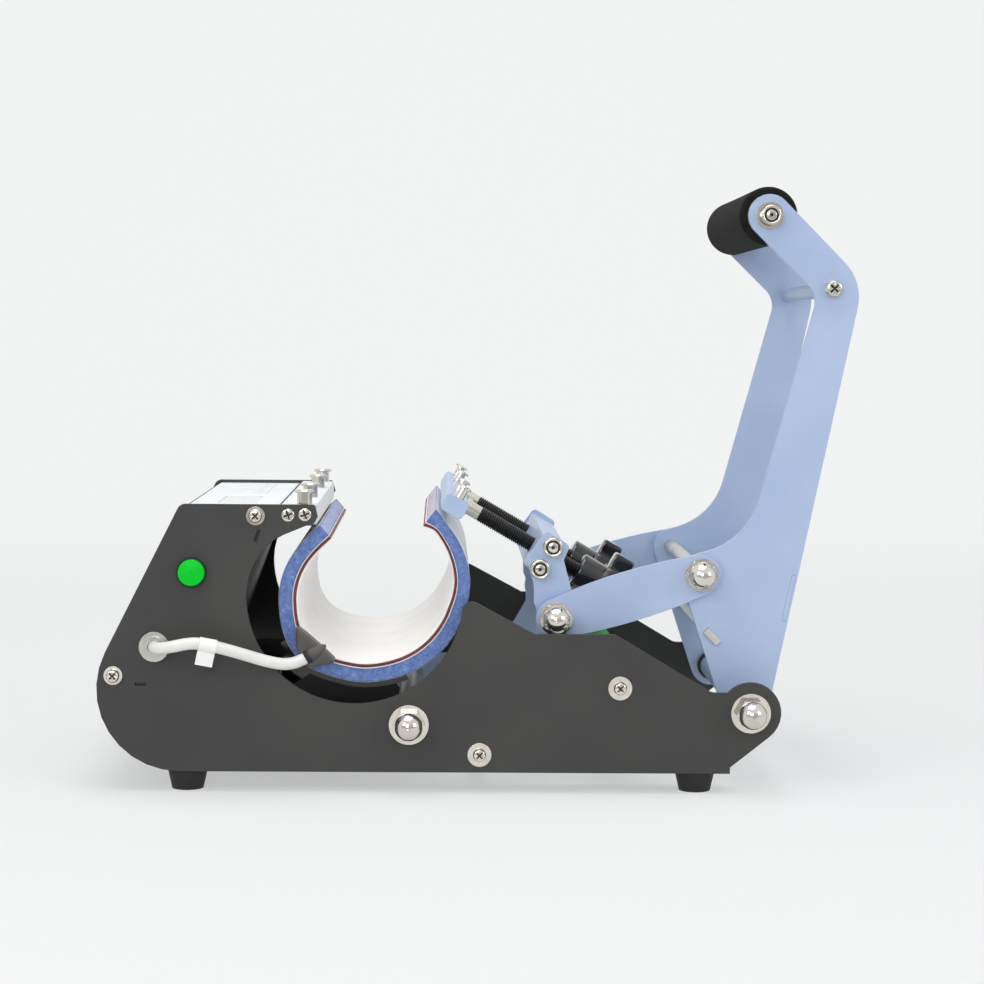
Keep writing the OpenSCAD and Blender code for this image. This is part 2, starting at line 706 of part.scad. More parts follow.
panel_edge = 0.4;
panel_x0 = top_middle[0];
panel_x1 = cover_path[0][0];
panel_w = 2 * inner_y - 2 * panel_edge;
window_x = (panel_x0 + panel_x1) / 2;
window_y_share = -0.22;
keypad_y_share = 0.24;
key_sheet_t = 0.4;
window_sink = 0.2;
module on_panel(y_share, z) {
    translate([window_x, y_share * panel_w, cover_top_z + z]) children();
}
module control_panel() {
    color("#f4f4f2") difference() {
        translate([panel_x0, -panel_w / 2, cover_top_z]) cube([panel_x1 - panel_x0, panel_w, panel_t]);
        on_panel(window_y_share, 0) translate([-window_l / 2, -window_w / 2, -over])
            cube([window_l, window_w, panel_t + 2 * over]);
    }
}
module display_window() {
    color("#30343a") on_panel(window_y_share, 0)
        translate([-window_l / 2 + slot_ease, -window_w / 2 + slot_ease, 0])
            cube([window_l - 2 * slot_ease, window_w - 2 * slot_ease, panel_t - window_sink]);
}
key_r_share = 0.32;
key_places = [-0.36, -0.12, 0.12, 0.36];
key_rise = 0.3;
module keypad() {
    color("#d9dde2") on_panel(keypad_y_share, panel_t) {
        translate([-window_l / 2, -keypad_w / 2, 0]) cube([window_l, keypad_w, key_sheet_t]);
        for (s = key_places) translate([0, s * keypad_w, key_sheet_t / 2])
            cylinder(h = key_sheet_t / 2 + key_rise, r = window_l * key_r_share);
    }
}

// Board with the display, the key switches, a relay and a terminal row, hung from the cover
board_t = 1.6;
board_drop = 15;
board_l = 34;
board_w = 190;
board_back = 4;
post_d = 5;
post_inset = 4;
display_h = 9;
relay_size = [16, 28, 15];
terminal_size = [10, 60, 12];
module control_board() {
    board_z = cover_ceiling - board_drop;
    color("#1f5c34") translate([window_x - board_l / 2 - board_back, -board_w / 2, board_z]) {
        cube([board_l, board_w, board_t]);
        for (x = [post_inset, board_l - post_inset], y = [post_inset, board_w - post_inset])
            translate([x, y, board_t / 2]) cylinder(h = board_drop - board_t / 2, d = post_d);
        translate([board_l / 2 - window_l / 2, board_w / 2 + window_y_share * panel_w - window_w / 2,
            board_t / 2]) cube([window_l, window_w, display_h]);
        for (s = key_places)
            translate([board_l / 2, board_w / 2 + keypad_y_share * panel_w + s * keypad_w, board_t / 2])
                cylinder(h = display_h, d = post_d);
        translate([post_inset, board_w / 2, board_t / 2 - relay_size[2]]) cube(relay_size);
        translate([board_l / 2, post_inset * 4, board_t / 2 - terminal_size[2]]) cube(terminal_size);
    }
}
module_l = 36;
module_w = 70;
module_h = 30;
fin_t = 2;
fin_h = 10;
fin_count = 6;
module power_module() {
    color("#5b5f66") translate([tray_left + module_l / 2, -module_w / 2, tray_floor_z + sheet_t]) {
        cube([module_l, module_w, module_h - fin_h]);
        for (i = [0:fin_count - 1])
            translate([i * (module_l - fin_t) / (fin_count - 1), 0, 0]) cube([fin_t, module_w, module_h]);
    }
}

inlet_body_w = 20;
inlet_body_h = 27.5;
inlet_flange_t = 2.5;
inlet_depth = 22;
inlet_mouth_w = 15;
inlet_mouth_h = 23;
inlet_mouth_depth = 16;
inlet_pin_l = 10;
inlet_pin_w = 2;
inlet_pin_t = 4;
inlet_pin_step = 7;
inlet_screw_span = 40;
inlet_screw_r = 1.6;
module inlet_box(w, h, y0, y1) {
    translate([on_plate(inlet_share)[0] - w / 2, y0, on_plate(inlet_share)[1] - h / 2])
        cube([w, y1 - y0, h]);
}
module power_inlet() {
    face = half_w + inlet_flange_t;
    color("#1e1e1e") {
        difference() {
            union() {
                inlet_box(inlet_w, inlet_h, half_w, face);
                inlet_box(inlet_body_w, inlet_body_h, half_w - inlet_depth, face - fit);
            }
            inlet_box(inlet_mouth_w, inlet_mouth_h, face - inlet_mouth_depth, face + over);
            for (s = [-1, 1])
                round_bar(on_plate(inlet_share) + [0, s * inlet_screw_span / 2], inlet_screw_r,
                    half_w - over, face + over);
        }
        for (s = [-1, 0, 1])
            translate([on_plate(inlet_share)[0] - inlet_pin_w / 2,
                face - inlet_mouth_depth - fit, on_plate(inlet_share)[1] + s * inlet_pin_step
                - inlet_pin_t / 2]) cube([inlet_pin_w, inlet_pin_l, inlet_pin_t]);
    }
}
fuse_r = 6.3;
fuse_flange_r = 8;
fuse_flange_t = 2;
fuse_cap_r = 5.5;
fuse_cap_h = 5;
fuse_depth = 30;
module fuse_holder() {
    color("#1e1e1e") difference() {
        union() {
            round_bar(on_plate(fuse_share), fuse_r, half_w - fuse_depth, half_w + fuse_flange_t);
            round_bar(on_plate(fuse_share), fuse_flange_r, half_w, half_w + fuse_flange_t);
            round_bar(on_plate(fuse_share), fuse_cap_r, half_w, half_w + fuse_flange_t + fuse_cap_h);
        }
        outwards(on_plate(fuse_share), half_w + fuse_flange_t + fuse_cap_h)
            cube([2 * fuse_cap_r + over, fuse_flange_t, fuse_flange_t], center = true);
    }
}

// Power button on the near plate: its body, and the cap that slides in it
bezel_rim = 0.5;
bezel_h = 1.5;
bezel_wall = 0.5;
switch_depth = 20;
switch_nut_r = 11;
switch_nut_h = 3;
cap_proud = 5;
cap_disc_h = 5.8;
cap_stem_r = 4;
cap_room = 0.4;
module nearwards(c, y) { mirror([0, 1, 0]) outwards(c, y) children(); }
module switch_body() {
    barrel_r = bezel_d / 2 - bezel_rim;
    recess = cap_disc_h - cap_proud + cap_travel + cap_room;
    color("#2b2b2b") nearwards(on_plate(button_share), half_w) difference() {
        union() {
            cylinder(h = bezel_h, d = bezel_d);
            translate([0, 0, -switch_depth]) cylinder(h = switch_depth + bezel_h / 2, r = barrel_r);
            translate([0, 0, -plate_t - switch_nut_h])
                cylinder(h = switch_nut_h, r = switch_nut_r, $fn = 6);
        }
        translate([0, 0, -recess]) cylinder(h = recess + bezel_h + over, d = cap_d + 2 * fit);
        translate([0, 0, -recess - cap_stem_l]) cylinder(h = cap_stem_l + over, r = cap_stem_r + fit);
    }
}
cap_stem_l = 9;
cap_edge = 1;
module switch_cap() {
    color("#06c83c") nearwards(on_plate(button_share), half_w + cap_proud - cap_disc_h) {
        cylinder(h = cap_disc_h - cap_edge, d = cap_d);
        translate([0, 0, cap_disc_h - cap_edge])
            cylinder(h = cap_edge, d1 = cap_d, d2 = cap_d - 2 * cap_edge);
        translate([0, 0, -cap_stem_l + cap_travel + cap_room])
            cylinder(h = cap_stem_l - cap_travel, r = cap_stem_r);
    }
}

// Heater lead: gland on the near plate, free lead in front of it, junction on the wrap
gland_barrel_r = 6.8;
gland_nut_h = 3;
gland_collar_h = 1.5;
gland_collar_r = 6.5;
gland_depth = 14;
gland_back_r = 9.5;
lead_sink = 3;
module heater_gland() {
    color("#c9c2b4") nearwards(on_plate(gland_share), half_w) difference() {
        union() {
            cylinder(h = gland_nut_h, d = gland_d);
            cylinder(h = gland_nut_h + gland_collar_h, r = gland_collar_r);
            translate([0, 0, -gland_depth]) cylinder(h = gland_depth + over, r = gland_barrel_r);
            translate([0, 0, -plate_t - gland_nut_h])
                cylinder(h = gland_nut_h, r = gland_back_r, $fn = 6);
        }
        translate([0, 0, gland_nut_h + gland_collar_h - lead_sink])
            cylinder(h = lead_sink + over, d = lead_d + 4 * fit);
    }
}

// The lead's route, as points on its middle line
lead_route = [
    [-194, -121.5, 88], [-194, -125, 88], [-193, -130, 88.2], [-190, -134.4, 88.6],
    [-185.6, -137.4, 89.4], [-180, -139, 90.6], [-174, -139, 91.8], [-168, -138.4, 92.2],
    [-161, -137.2, 91.2], [-153.5, -135.8, 89.2], [-146, -134.4, 87], [-138.5, -133, 84.6],
    [-131, -131.6, 82.2], [-124, -130.2, 80.2], [-117, -129, 79], [-110.5, -128, 79.6],
    [-104.5, -127.2, 82], [-99.5, -126.8, 85]
];
lead_sides = 10;
lead_rings = 3;
// Smooth curve through the route's points, as rings of a tube
function spline(p, i, t) =
    let (k = len(p), a = p[max(i - 1, 0)], b = p[i], c = p[min(i + 1, k - 1)], d = p[min(i + 2, k - 1)])
    0.5 * (2 * b + (c - a) * t + (2 * a - 5 * b + 4 * c - d) * t * t
        + (3 * b - a - 3 * c + d) * t * t * t);
function smooth(p, n) = concat(
    [for (i = [0:len(p) - 2], j = [0:n - 1]) spline(p, i, j / n)], [p[len(p) - 1]]);
function ring(p, i, r, n) =
    let (d = unit(p[min(i + 1, len(p) - 1)] - p[max(i - 1, 0)]))
    let (u = unit(cross(d, [0, 0, 1])), v = cross(u, d))
    [for (k = [0:n - 1]) p[i] + r * (cos(360 * k / n) * u + sin(360 * k / n) * v)];
module tube(path, r, n) {
    k = len(path);
    points = [for (i = [0:k - 1]) each ring(path, i, r, n)];
    sides = [for (i = [0:k - 2], j = [0:n - 1]) let (m = (j + 1) % n)
        each [[i * n + j, i * n + m, (i + 1) * n + m], [i * n + j, (i + 1) * n + m, (i + 1) * n + j]]];
    ends = [[for (j = [n - 1:-1:0]) j], [for (j = [0:n - 1]) (k - 1) * n + j]];
    polyhedron(points = points, faces = concat(sides, ends), convexity = 6);
}
module heater_lead() { color("#f2f1ec") tube(smooth(lead_route, lead_rings), lead_d / 2, lead_sides); }

tag_w = 13;
tag_h = 14;
tag_t = 0.5;
tag_ring_l = 5;
tag_ring_t = 0.6;
tag_place = 8;
module lead_tag() {
    p = lead_route[tag_place];
    bore = lead_d / 2 + gap / 2;
    color("white") translate(p) {
        difference() {
            union() {
                translate([-tag_ring_l / 2, 0, 0]) rotate([0, 90, 0])
                    cylinder(h = tag_ring_l, r = bore + tag_ring_t);
                translate([-tag_w / 2, -tag_t / 2, -bore - tag_h]) cube([tag_w, tag_t, tag_h]);
            }
            translate([-tag_w, 0, 0]) rotate([0, 90, 0]) cylinder(h = 2 * tag_w, r = bore);
        }
    }
}

junction_shares = [[-0.807, -0.4], [-0.43, -0.775], [-0.77, -0.8]];
junction_r = 2;
junction_back = 16.5;
module heater_junction() {
    color("#33363a") slab(
        rounded([for (s = junction_shares) concat(wrap + wrap_r * s, [junction_r])], 4),
        -wrap_len / 2 - junction_back, junction_back);
}

// Wrap, from the outside in, and the cradle below it
wrap_angles = [for (i = [0:wrap_n]) wrap_a0 + (wrap_a1 - wrap_a0) * i / wrap_n];
function wrap_line(d) = [for (a = wrap_angles) polar(wrap, wrap_out(a) - d * wrap_thin(a), a)];
module wrap_layer(d0, t) {
    slab(concat(wrap_line(d0), backwards(wrap_line(d0 + t))), -wrap_len / 2, wrap_len);
}
module wrap_sponge() { color("#6878a4") wrap_layer(0, sponge_t); }
module wrap_heating_mat() { color("#5a3038") wrap_layer(sponge_t, mat_t); }
module wrap_liner() { color("#f0ebe6") wrap_layer(sponge_t + mat_t, liner_t); }

cradle_a0 = 212;
tongue_a = 236;
skirt_x_share = 0.2634;
cradle_a1 = 290;
cradle_n = 13;
skirt_n = 4;
lip_t = 1.5;
tongue_x_shares = [0.19, 0.283];
tongue_end = polar(wrap, wrap_out(tongue_a) + gap + cradle_t, tongue_a);
tongue_path = [
    [on_plate([tongue_x_shares[0], 0])[0], tray_floor_z - cradle_t],
    [on_plate([tongue_x_shares[1], 0])[0], tray_floor_z - cradle_t],
    tongue_end
];
module cradle() {
    color("#1b1b1c") {
        slab(band(gap, gap + cradle_t, cradle_a0, cradle_a1, cradle_n), -cradle_len / 2, cradle_len);
        slab(strip(tongue_path, cradle_t), -cradle_len / 2, cradle_len);
        both_sides() slab(band(gap, gap + cradle_lip, cradle_a0, cradle_a1, cradle_n),
            cradle_len / 2 - lip_t, lip_t);
        both_sides() slab(concat([[on_plate([skirt_x_share, 0])[0], tray_floor_z - cradle_t], tongue_path[1]],
            [for (i = [0:skirt_n]) let (a = tongue_a + (cradle_a0 - tongue_a) * i / skirt_n)
                polar(wrap, wrap_out(a) + gap + cradle_t / 2, a)]),
            cradle_len / 2 - lip_t, lip_t);
    }
}

// Hook bar and its posts
module hook_bar() {
    p = on_plate(hook_bar_shares[0]);
    q = on_plate(hook_bar_shares[1]);
    color("#e8e8e6") difference() {
        translate([p[0], -inner_y, p[1]]) cube([q[0] - p[0], 2 * inner_y, q[1] - p[1]]);
        both_sides() for (s = sunk_shares) round_bar(on_plate(s), screw_d / 2, inner_y - sunk_l, inner_y + over);
        for (y = hook_ys) translate([hook_x, y, q[1] - hook_root_l]) cylinder(h = hook_root_l + over, d = hook_root_d);
    }
}
hook_x = on_plate([hook_post_share, 0])[0];
hook_ys = [-hook_outer_y, -hook_inner_y, hook_inner_y, hook_outer_y];
hook_root_d = 5;
hook_root_l = 3;
post_head_h_share = 0.2;
post_crown_share = 0.8;
// A post with a root below Z = 0, a stem and a crowned head
module post(stem_d, head_d, h, root_d, root_l) {
    head_h = h * post_head_h_share;
    translate([0, 0, -root_l]) cylinder(h = root_l + over, d = root_d);
    cylinder(h = h, d = stem_d);
    translate([0, 0, h - head_h]) cylinder(h = head_h / 2, d = head_d);
    translate([0, 0, h - head_h / 2]) cylinder(h = head_h / 2, d1 = head_d, d2 = head_d * post_crown_share);
}
module hook_posts() {
    color("silver") for (y = hook_ys) translate([hook_x, y, on_plate(hook_bar_shares[1])[1]])
        post(hook_stem_d, hook_head_d, hook_h, hook_root_d, hook_root_l);
}

// Lever
rear_foot = polar(o1, hub_r, touch(o1, hub_r, o1 + knee, -1));
rear_dir = unit(o1 + knee - rear_foot);
web_inset = 1.2;
web_rise = 46;
web_tab_shares = [0.22, 0.82];
cross_bar_a = -45;
cross_bar_proud = 1.5;
upper_tie_screw_d = 5;
upper_tie_head_d = 10.8;
upper_tie_head_h = 3.6;
grip_screw_d = 6;
grip_head_d = 11.2;
grip_head_h = 6;
grip_washer_d = 16.8;
grip_washer_t = 1.5;
lever_screw_l = 16;
function web_line(s0, s1) = [
    rear_foot + (web_rise + s0 * web_h) * rear_dir + web_inset * left(rear_dir),
    rear_foot + (web_rise + s1 * web_h) * rear_dir + web_inset * left(rear_dir)];
module flat_bar(c, w, t, a, y0, y1) {
    translate([c[0], y0, c[1]]) rotate([0, -a, 0]) translate([-w / 2, 0, -t / 2])
        cube([w, y1 - y0, t]);
}
module lever_plate(side) {
    color("#a9bce0") scale([1, side, 1]) difference() {
        slab([for (p = lever_outline) o1 + p], arm_y0, arm_t);
        for (c = [o1, a_pin]) round_bar(c, pivot_r + fit, arm_y0 - over, arm_y1 + over);
        round_bar(on_lever(grip_share), grip_screw_d / 2 + fit, arm_y0 - over, arm_y1 + over);
        round_bar(on_lever(upper_tie_share), upper_tie_screw_d / 2 + fit, arm_y0 - over,
            arm_y1 + over);
        flat_bar(on_lever(cross_bar_share), cross_bar_w + 2 * fit, cross_bar_t + 2 * fit, cross_bar_a,
            arm_y0 - over, arm_y1 + over);
        slab(strip(moved(web_line(web_tab_shares[0] - slot_ease / web_h,
            web_tab_shares[1] + slot_ease / web_h), -fit), web_t + 2 * fit), arm_y0 - over,
            arm_t + 2 * over);
    }
}
module lever_plate_near() { lever_plate(-1); }
module lever_plate_far() { lever_plate(1); }
module hub_tube(c) {
    difference() {
        round_bar(c, hub_tube_d / 2, -arm_y0, arm_y0);
        round_bar(c, pivot_r + fit, -half_w, half_w);
    }
}
module lever_hub_tube() { color("#a9bce0") hub_tube(o1); }

crank_end = link_y1 + gap + link_washer_t + link_acorn_h * acorn_bore_share - over;
module crank_rod() { color("#e6e9ef") round_bar(a_pin, pivot_r, -crank_end, crank_end); }
module crank_nuts() {
    color("silver") both_sides() {
        outwards(a_pin, link_y1 + gap) washer(link_washer_d, pivot_r + fit, link_washer_t);
        outwards(a_pin, link_y1 + gap + link_washer_t) acorn(link_acorn_h);
    }
}
module screwed_bar(c, d, bore_d) {
    difference() {
        round_bar(c, d / 2, -arm_y0, arm_y0);
        both_sides() round_bar(c, bore_d / 2 + fit, arm_y0 - lever_screw_l, arm_y0 + over);
    }
}
module lever_tie_rod() {
    color("#a9bce0") screwed_bar(on_lever(upper_tie_share), upper_tie_d, upper_tie_screw_d);
}
module lever_cross_bar() {
    color("#a9bce0") flat_bar(on_lever(cross_bar_share), cross_bar_w, cross_bar_t, cross_bar_a,
        -arm_y1 - cross_bar_proud, arm_y1 + cross_bar_proud);
}
module lever_web() {
    color("#a9bce0") {
        slab(strip(web_line(0, 1), web_t), -arm_y0, 2 * arm_y0);
        both_sides() slab(strip(web_line(web_tab_shares[0], web_tab_shares[1]), web_t),
            arm_y0 - web_t, arm_t + web_t);
    }
}
module grip_bar() { color("silver") screwed_bar(on_lever(grip_share), grip_bar_d, grip_screw_d); }
module grip_foam() {
    color("#2e2b29") difference() {
        round_bar(on_lever(grip_share), grip_d / 2, gap - arm_y0, arm_y0 - gap);
        round_bar(on_lever(grip_share), grip_bar_d / 2, -half_w, half_w);
    }
}
module lever_screws() {
    color("silver") both_sides() {
        outwards(on_lever(grip_share), arm_y1) cylinder(h = grip_washer_t, d = grip_washer_d);
        outwards(on_lever(grip_share), arm_y1 + grip_washer_t)
            socket_screw(grip_head_d, grip_head_h, grip_screw_d, lever_screw_l);
        outwards(on_lever(upper_tie_share), arm_y1)
            pan_screw(upper_tie_head_d, upper_tie_head_h, upper_tie_screw_d, lever_screw_l);
    }
}

// Links
link_n = 10;
link_dir = unit(a_pin - b_pin);
link_a = heading(link_dir);
function link_edge(sign) = [
    for (i = [1:link_n - 1])
        let (t = 2 * i / link_n - 1)
        (a_pin + b_pin) / 2 - sign * t * (a_pin - b_pin) / 2
            + sign * left(link_dir) * (link_end_r + link_swell * (1 - t * t))
];
link_outline = concat(
    arc(a_pin, link_end_r, link_a - 90, link_a + 90, 14), link_edge(1),
    arc(b_pin, link_end_r, link_a + 90, link_a + 270, 14), link_edge(-1)
);
module link_plate(side) {
    color("#b3c4e4") scale([1, side, 1]) difference() {
        slab(link_outline, link_y0, arm_t);
        for (c = [a_pin, b_pin]) round_bar(c, pivot_r + fit, link_y0 - over, link_y1 + over);
    }
}
module link_near() { link_plate(-1); }
module link_far() { link_plate(1); }
module link_studs() {
    color("silver") both_sides() {
        round_bar(b_pin, pivot_r, link_y0,
            link_y1 + link_washer_t + link_acorn_h * acorn_bore_share - over);
        outwards(b_pin, link_y1) washer(link_washer_d, pivot_r + fit, link_washer_t);
        outwards(b_pin, link_y1 + link_washer_t) acorn(link_acorn_h);
    }
}

// Yoke: its plates bow round the wrap when the lever is closed
closed_wrap = turned(wrap, o2, -yoke_turn);
yoke_clear = 3;
yoke_grow = 4;
yoke_inner_r = bay_r + yoke_clear;
yoke_outer_r = norm(b_pin - closed_wrap) + yoke_pin_r;
yoke_inner_a = [-97, -42];
yoke_outer_a = [-24, -92];
yoke_n = 10;
yoke_outer = [for (i = [0:yoke_n])
    polar(closed_wrap, yoke_outer_r + yoke_grow * i / yoke_n,
        yoke_outer_a[0] + (yoke_outer_a[1] - yoke_outer_a[0]) * i / yoke_n)];
yoke_inner = arc(closed_wrap, yoke_inner_r, yoke_inner_a[0], yoke_inner_a[1], yoke_n);
yoke_pts = concat(
    [for (s = yoke_top_shares) concat(on_yoke(s), [yoke_corner_r])],
    arc(b_pin, yoke_pin_r, 40, -22, 5), yoke_outer,
    arc(o2, yoke_hub_r, touch(o2, yoke_hub_r, yoke_outer[yoke_n], -1),
        touch(o2, yoke_hub_r, yoke_inner[0], 1) - 360, 14),
    yoke_inner, [for (s = yoke_left_shares) on_yoke(s)]
);
yoke_outline = rounded(yoke_pts, 4);
block_screw_d = 5;
block_screw_head_d = 10;
block_screw_head_h = 4;
block_screw_l = 14;
block_washer_d = 12;
block_washer_t = 1.2;
block_screw_places = [for (k = [-1, 1]) block + k * block_screw_span / 2 * rod_side];
module yoke_plate(side) {
    color("#8fa5c9") scale([1, side, 1]) difference() {
        slab(yoke_outline, arm_y0, arm_t);
        for (c = [o2, b_pin]) round_bar(c, pivot_r + fit, arm_y0 - over, arm_y1 + over);
        for (c = block_screw_places)
            round_bar(c, block_screw_d / 2 + fit, arm_y0 - over, arm_y1 + over);
    }
}
module yoke_plate_near() { yoke_plate(-1); }
module yoke_plate_far() { yoke_plate(1); }
module yoke_hub_tube() { color("silver") hub_tube(o2); }
module yoke_cross_rod() { color("silver") round_bar(b_pin, pivot_r, -arm_y1, arm_y1); }
module yoke_block() {
    color("#9db0d4") difference() {
        along_rods(block, 0) cube([block_l, 2 * arm_y0, block_h], center = true);
        for (y = rod_ys) rod_part(y, rod_d / 2 + fit, -block_l, block_l);
        both_sides() for (c = block_screw_places)
            round_bar(c, block_screw_d / 2 + fit, arm_y0 - block_screw_l, arm_y0 + over);
    }
}
module yoke_screws() {
    color("silver") both_sides() for (c = block_screw_places) {
        outwards(c, arm_y1) cylinder(h = block_washer_t, d = block_washer_d);
        outwards(c, arm_y1 + block_washer_t)
            socket_screw(block_screw_head_d, block_screw_head_h, block_screw_d, block_screw_l);
    }
}

// Tension bar with its posts and collars
rod_ys = [-rod_span / 2, rod_span / 2];
bar_corner_r = 2.5;
journal_r = journal_d / 2;
journal_l = 10;
collar_t = 3.2;
collar_d = 11.5;
neck_d = 9;
neck_l = 7.8;
bar_post_h = 8;
bar_post_stem_d = 5.5;
bar_post_head_d = 9;
bar_post_root_d = 4;
bar_post_root_l = 1.5;
bar_face = -bar_reach + bar_l / 2;
neck_end = bar_face + collar_t + neck_l;
module tension_bar() {
    color("#a9bce0") difference() {
        slab(rounded([for (k = [[1, 1], [-1, 1], [-1, -1], [1, -1]])
            concat(bar + k[0] * bar_l / 2 * rod_dir + k[1] * bar_h / 2 * rod_side, [bar_corner_r])], 5),
            -bar_len / 2, bar_len);
        for (y = rod_ys) rod_part(y, journal_r + fit, bar_face - journal_l - fit, bar_face + over);
        for (y = hook_ys) along_rods(bar, y) translate([0, 0, bar_h / 2 - bar_post_root_l - fit])
            cylinder(h = bar_post_root_l + over, d = bar_post_root_d + 2 * fit);
    }
}
module bar_fittings() {
    color("silver") {
        for (y = hook_ys) along_rods(bar, y) translate([0, 0, bar_h / 2])
            post(bar_post_stem_d, bar_post_head_d, bar_post_h, bar_post_root_d, bar_post_root_l);
        for (y = rod_ys) difference() {
            union() {
                rod_part(y, collar_d / 2, bar_face, bar_face + collar_t);
                rod_part(y, neck_d / 2, bar_face, neck_end);
            }
            rod_part(y, journal_r + fit, bar_face - over, neck_end + over);
        }
    }
}

// Threaded rods and star knobs
knob_s1 = block_l / 2 + knob_reach;
knob_s2 = knob_s1 + knob_hub_h;
rod_end_share = 0.5;
lobe_count = 5;
lobe_w_share = 0.27;
core_r_share = 0.29;
lobe_turn = 36;
rod_end = knob_s2 + knob_head_h * rod_end_share;
module threaded_rod(y) {
    color("#1d1d1d") {
        rod_part(y, journal_r, bar_face - journal_l, neck_end + 2 * gap);
        rod_part(y, rod_d / 2, neck_end + gap, rod_end);
    }
}
// Outline of the head: broad lobes with parallel sides round a core
core_r = knob_d * core_r_share;
lobe_a = asin(lobe_w_share);
core_a = asin(lobe_w_share / 2 / core_r_share);
lobe_step = 360 / lobe_count;
star_outline = [
    for (i = [1:lobe_count]) let (a = i * lobe_step + lobe_turn)
        each concat(arc([0, 0], knob_d / 2, a - lobe_a, a + lobe_a, 4),
            arc([0, 0], core_r, a + core_a, a + lobe_step - core_a, 2))
];
module star_knob(y) {
    color("#161616") difference() {
        union() {
            rod_part(y, knob_hub_d / 2, knob_s1, knob_s2 + fit);
            along_rods(block, y) translate([knob_s2, 0, 0]) rotate([0, 90, 0])
                linear_extrude(knob_head_h) polygon(star_outline);
        }
        rod_part(y, rod_d / 2, knob_s1 - over, rod_end);
    }
}
module threaded_rod_near() { threaded_rod(rod_ys[0]); }
module threaded_rod_far() { threaded_rod(rod_ys[1]); }
module star_knob_near() { star_knob(rod_ys[0]); }
module star_knob_far() { star_knob(rod_ys[1]); }

side_plate_near();
side_plate_far();
tie_rods();
rod_sleeve();
feet();
foot_screws();
lever_shaft();
yoke_shaft();
pivot_spacers();
pivot_washers();
pivot_acorn_nuts();
plate_screws();
countersunk_screws();
box_cover();
box_tray();
control_panel();
display_window();
keypad();
control_board();
power_module();
power_inlet();
fuse_holder();
switch_body();
switch_cap();
heater_gland();
heater_lead();
lead_tag();
heater_junction();
wrap_sponge();
wrap_heating_mat();
wrap_liner();
cradle();
hook_bar();
hook_posts();
lever_plate_near();
lever_plate_far();
lever_hub_tube();
crank_rod();
crank_nuts();
lever_tie_rod();
lever_cross_bar();
lever_web();
grip_bar();
grip_foam();
lever_screws();
link_near();
link_far();
link_studs();
yoke_plate_near();
yoke_plate_far();
yoke_hub_tube();
yoke_cross_rod();
yoke_block();
yoke_screws();
tension_bar();
bar_fittings();
threaded_rod_near();
threaded_rod_far();
star_knob_near();
star_knob_far();
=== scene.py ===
"""Tumbler heat press: camera, studio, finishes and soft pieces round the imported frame.

Points and sizes are in millimetres in the frame's own axes unless a name or comment says metres.
"""
import json
import math

import bpy
import bmesh
import numpy as np
from mathutils import Matrix, Vector


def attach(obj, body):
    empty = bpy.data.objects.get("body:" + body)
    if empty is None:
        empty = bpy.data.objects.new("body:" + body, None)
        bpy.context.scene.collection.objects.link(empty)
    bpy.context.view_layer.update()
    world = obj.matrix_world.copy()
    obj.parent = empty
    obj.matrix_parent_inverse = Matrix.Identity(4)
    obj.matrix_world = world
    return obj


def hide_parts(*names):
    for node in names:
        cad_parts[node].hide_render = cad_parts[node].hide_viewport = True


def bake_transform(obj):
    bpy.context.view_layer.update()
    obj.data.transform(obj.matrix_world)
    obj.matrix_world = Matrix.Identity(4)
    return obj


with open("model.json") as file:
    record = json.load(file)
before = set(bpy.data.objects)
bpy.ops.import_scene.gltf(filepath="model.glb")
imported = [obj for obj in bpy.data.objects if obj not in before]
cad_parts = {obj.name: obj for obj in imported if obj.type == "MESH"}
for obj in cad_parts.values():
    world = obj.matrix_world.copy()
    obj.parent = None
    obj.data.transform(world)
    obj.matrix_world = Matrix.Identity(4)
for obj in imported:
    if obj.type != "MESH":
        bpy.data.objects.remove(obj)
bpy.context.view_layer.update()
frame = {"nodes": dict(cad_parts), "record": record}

MM = 0.001
DEG = math.pi / 180

# Camera: where it stood in metres, and its right, down and forward directions
PHOTO = 984
FOCAL_PX = 2370
SENSOR_MM = 36
CAMERA_AT = (-0.0242987, -1.5332878, 0.2759777)
RIGHT = (0.99972957, -0.02146638, 0.00894359)
DOWN = (0.00749797, -0.06650368, -0.99775801)
FORWARD = (0.02201303, 0.99755524, -0.06632474)
camera_data = bpy.data.cameras.new("studio_camera")
camera_data.sensor_width = SENSOR_MM
camera_data.lens = SENSOR_MM * FOCAL_PX / PHOTO
camera_data.clip_start, camera_data.clip_end = 0.05, 30
camera = bpy.data.objects.new("studio_camera", camera_data)
bpy.context.scene.collection.objects.link(camera)
camera.matrix_world = Matrix([
    [RIGHT[i], -DOWN[i], -FORWARD[i], CAMERA_AT[i]] for i in range(3)] + [[0, 0, 0, 1]])
bpy.context.scene.camera = camera
bpy.context.scene.view_settings.view_transform = "Standard"


# Colours and materials

def paint(code):
    """sRGB hex to a linear colour with alpha 1."""
    parts = [int(code[i:i + 2], 16) / 255 for i in (1, 3, 5)]
    return [p / 12.92 if p <= 0.04045 else ((p + 0.055) / 1.055) ** 2.4 for p in parts] + [1]


def add(tree, kind, settings, out=0):
    """Adds a node and gives its output: settings name an attribute or socket, or number a socket, and
    a value is a constant, another node's output to link, or the stops of a colour ramp."""
    n = tree.nodes.new(kind)
    for key, value in settings.items():
        if key == "stops":
            for i, (place, code) in enumerate(value):
                stop = n.color_ramp.elements[i] if i < 2 else n.color_ramp.elements.new(place)
                stop.position, stop.color = place, paint(code)
        elif isinstance(value, bpy.types.NodeSocket):
            tree.links.new(value, n.inputs[key])
        elif isinstance(key, str) and hasattr(n, key):
            setattr(n, key, value)
        else:
            n.inputs[key].default_value = value
    return n.outputs[out]


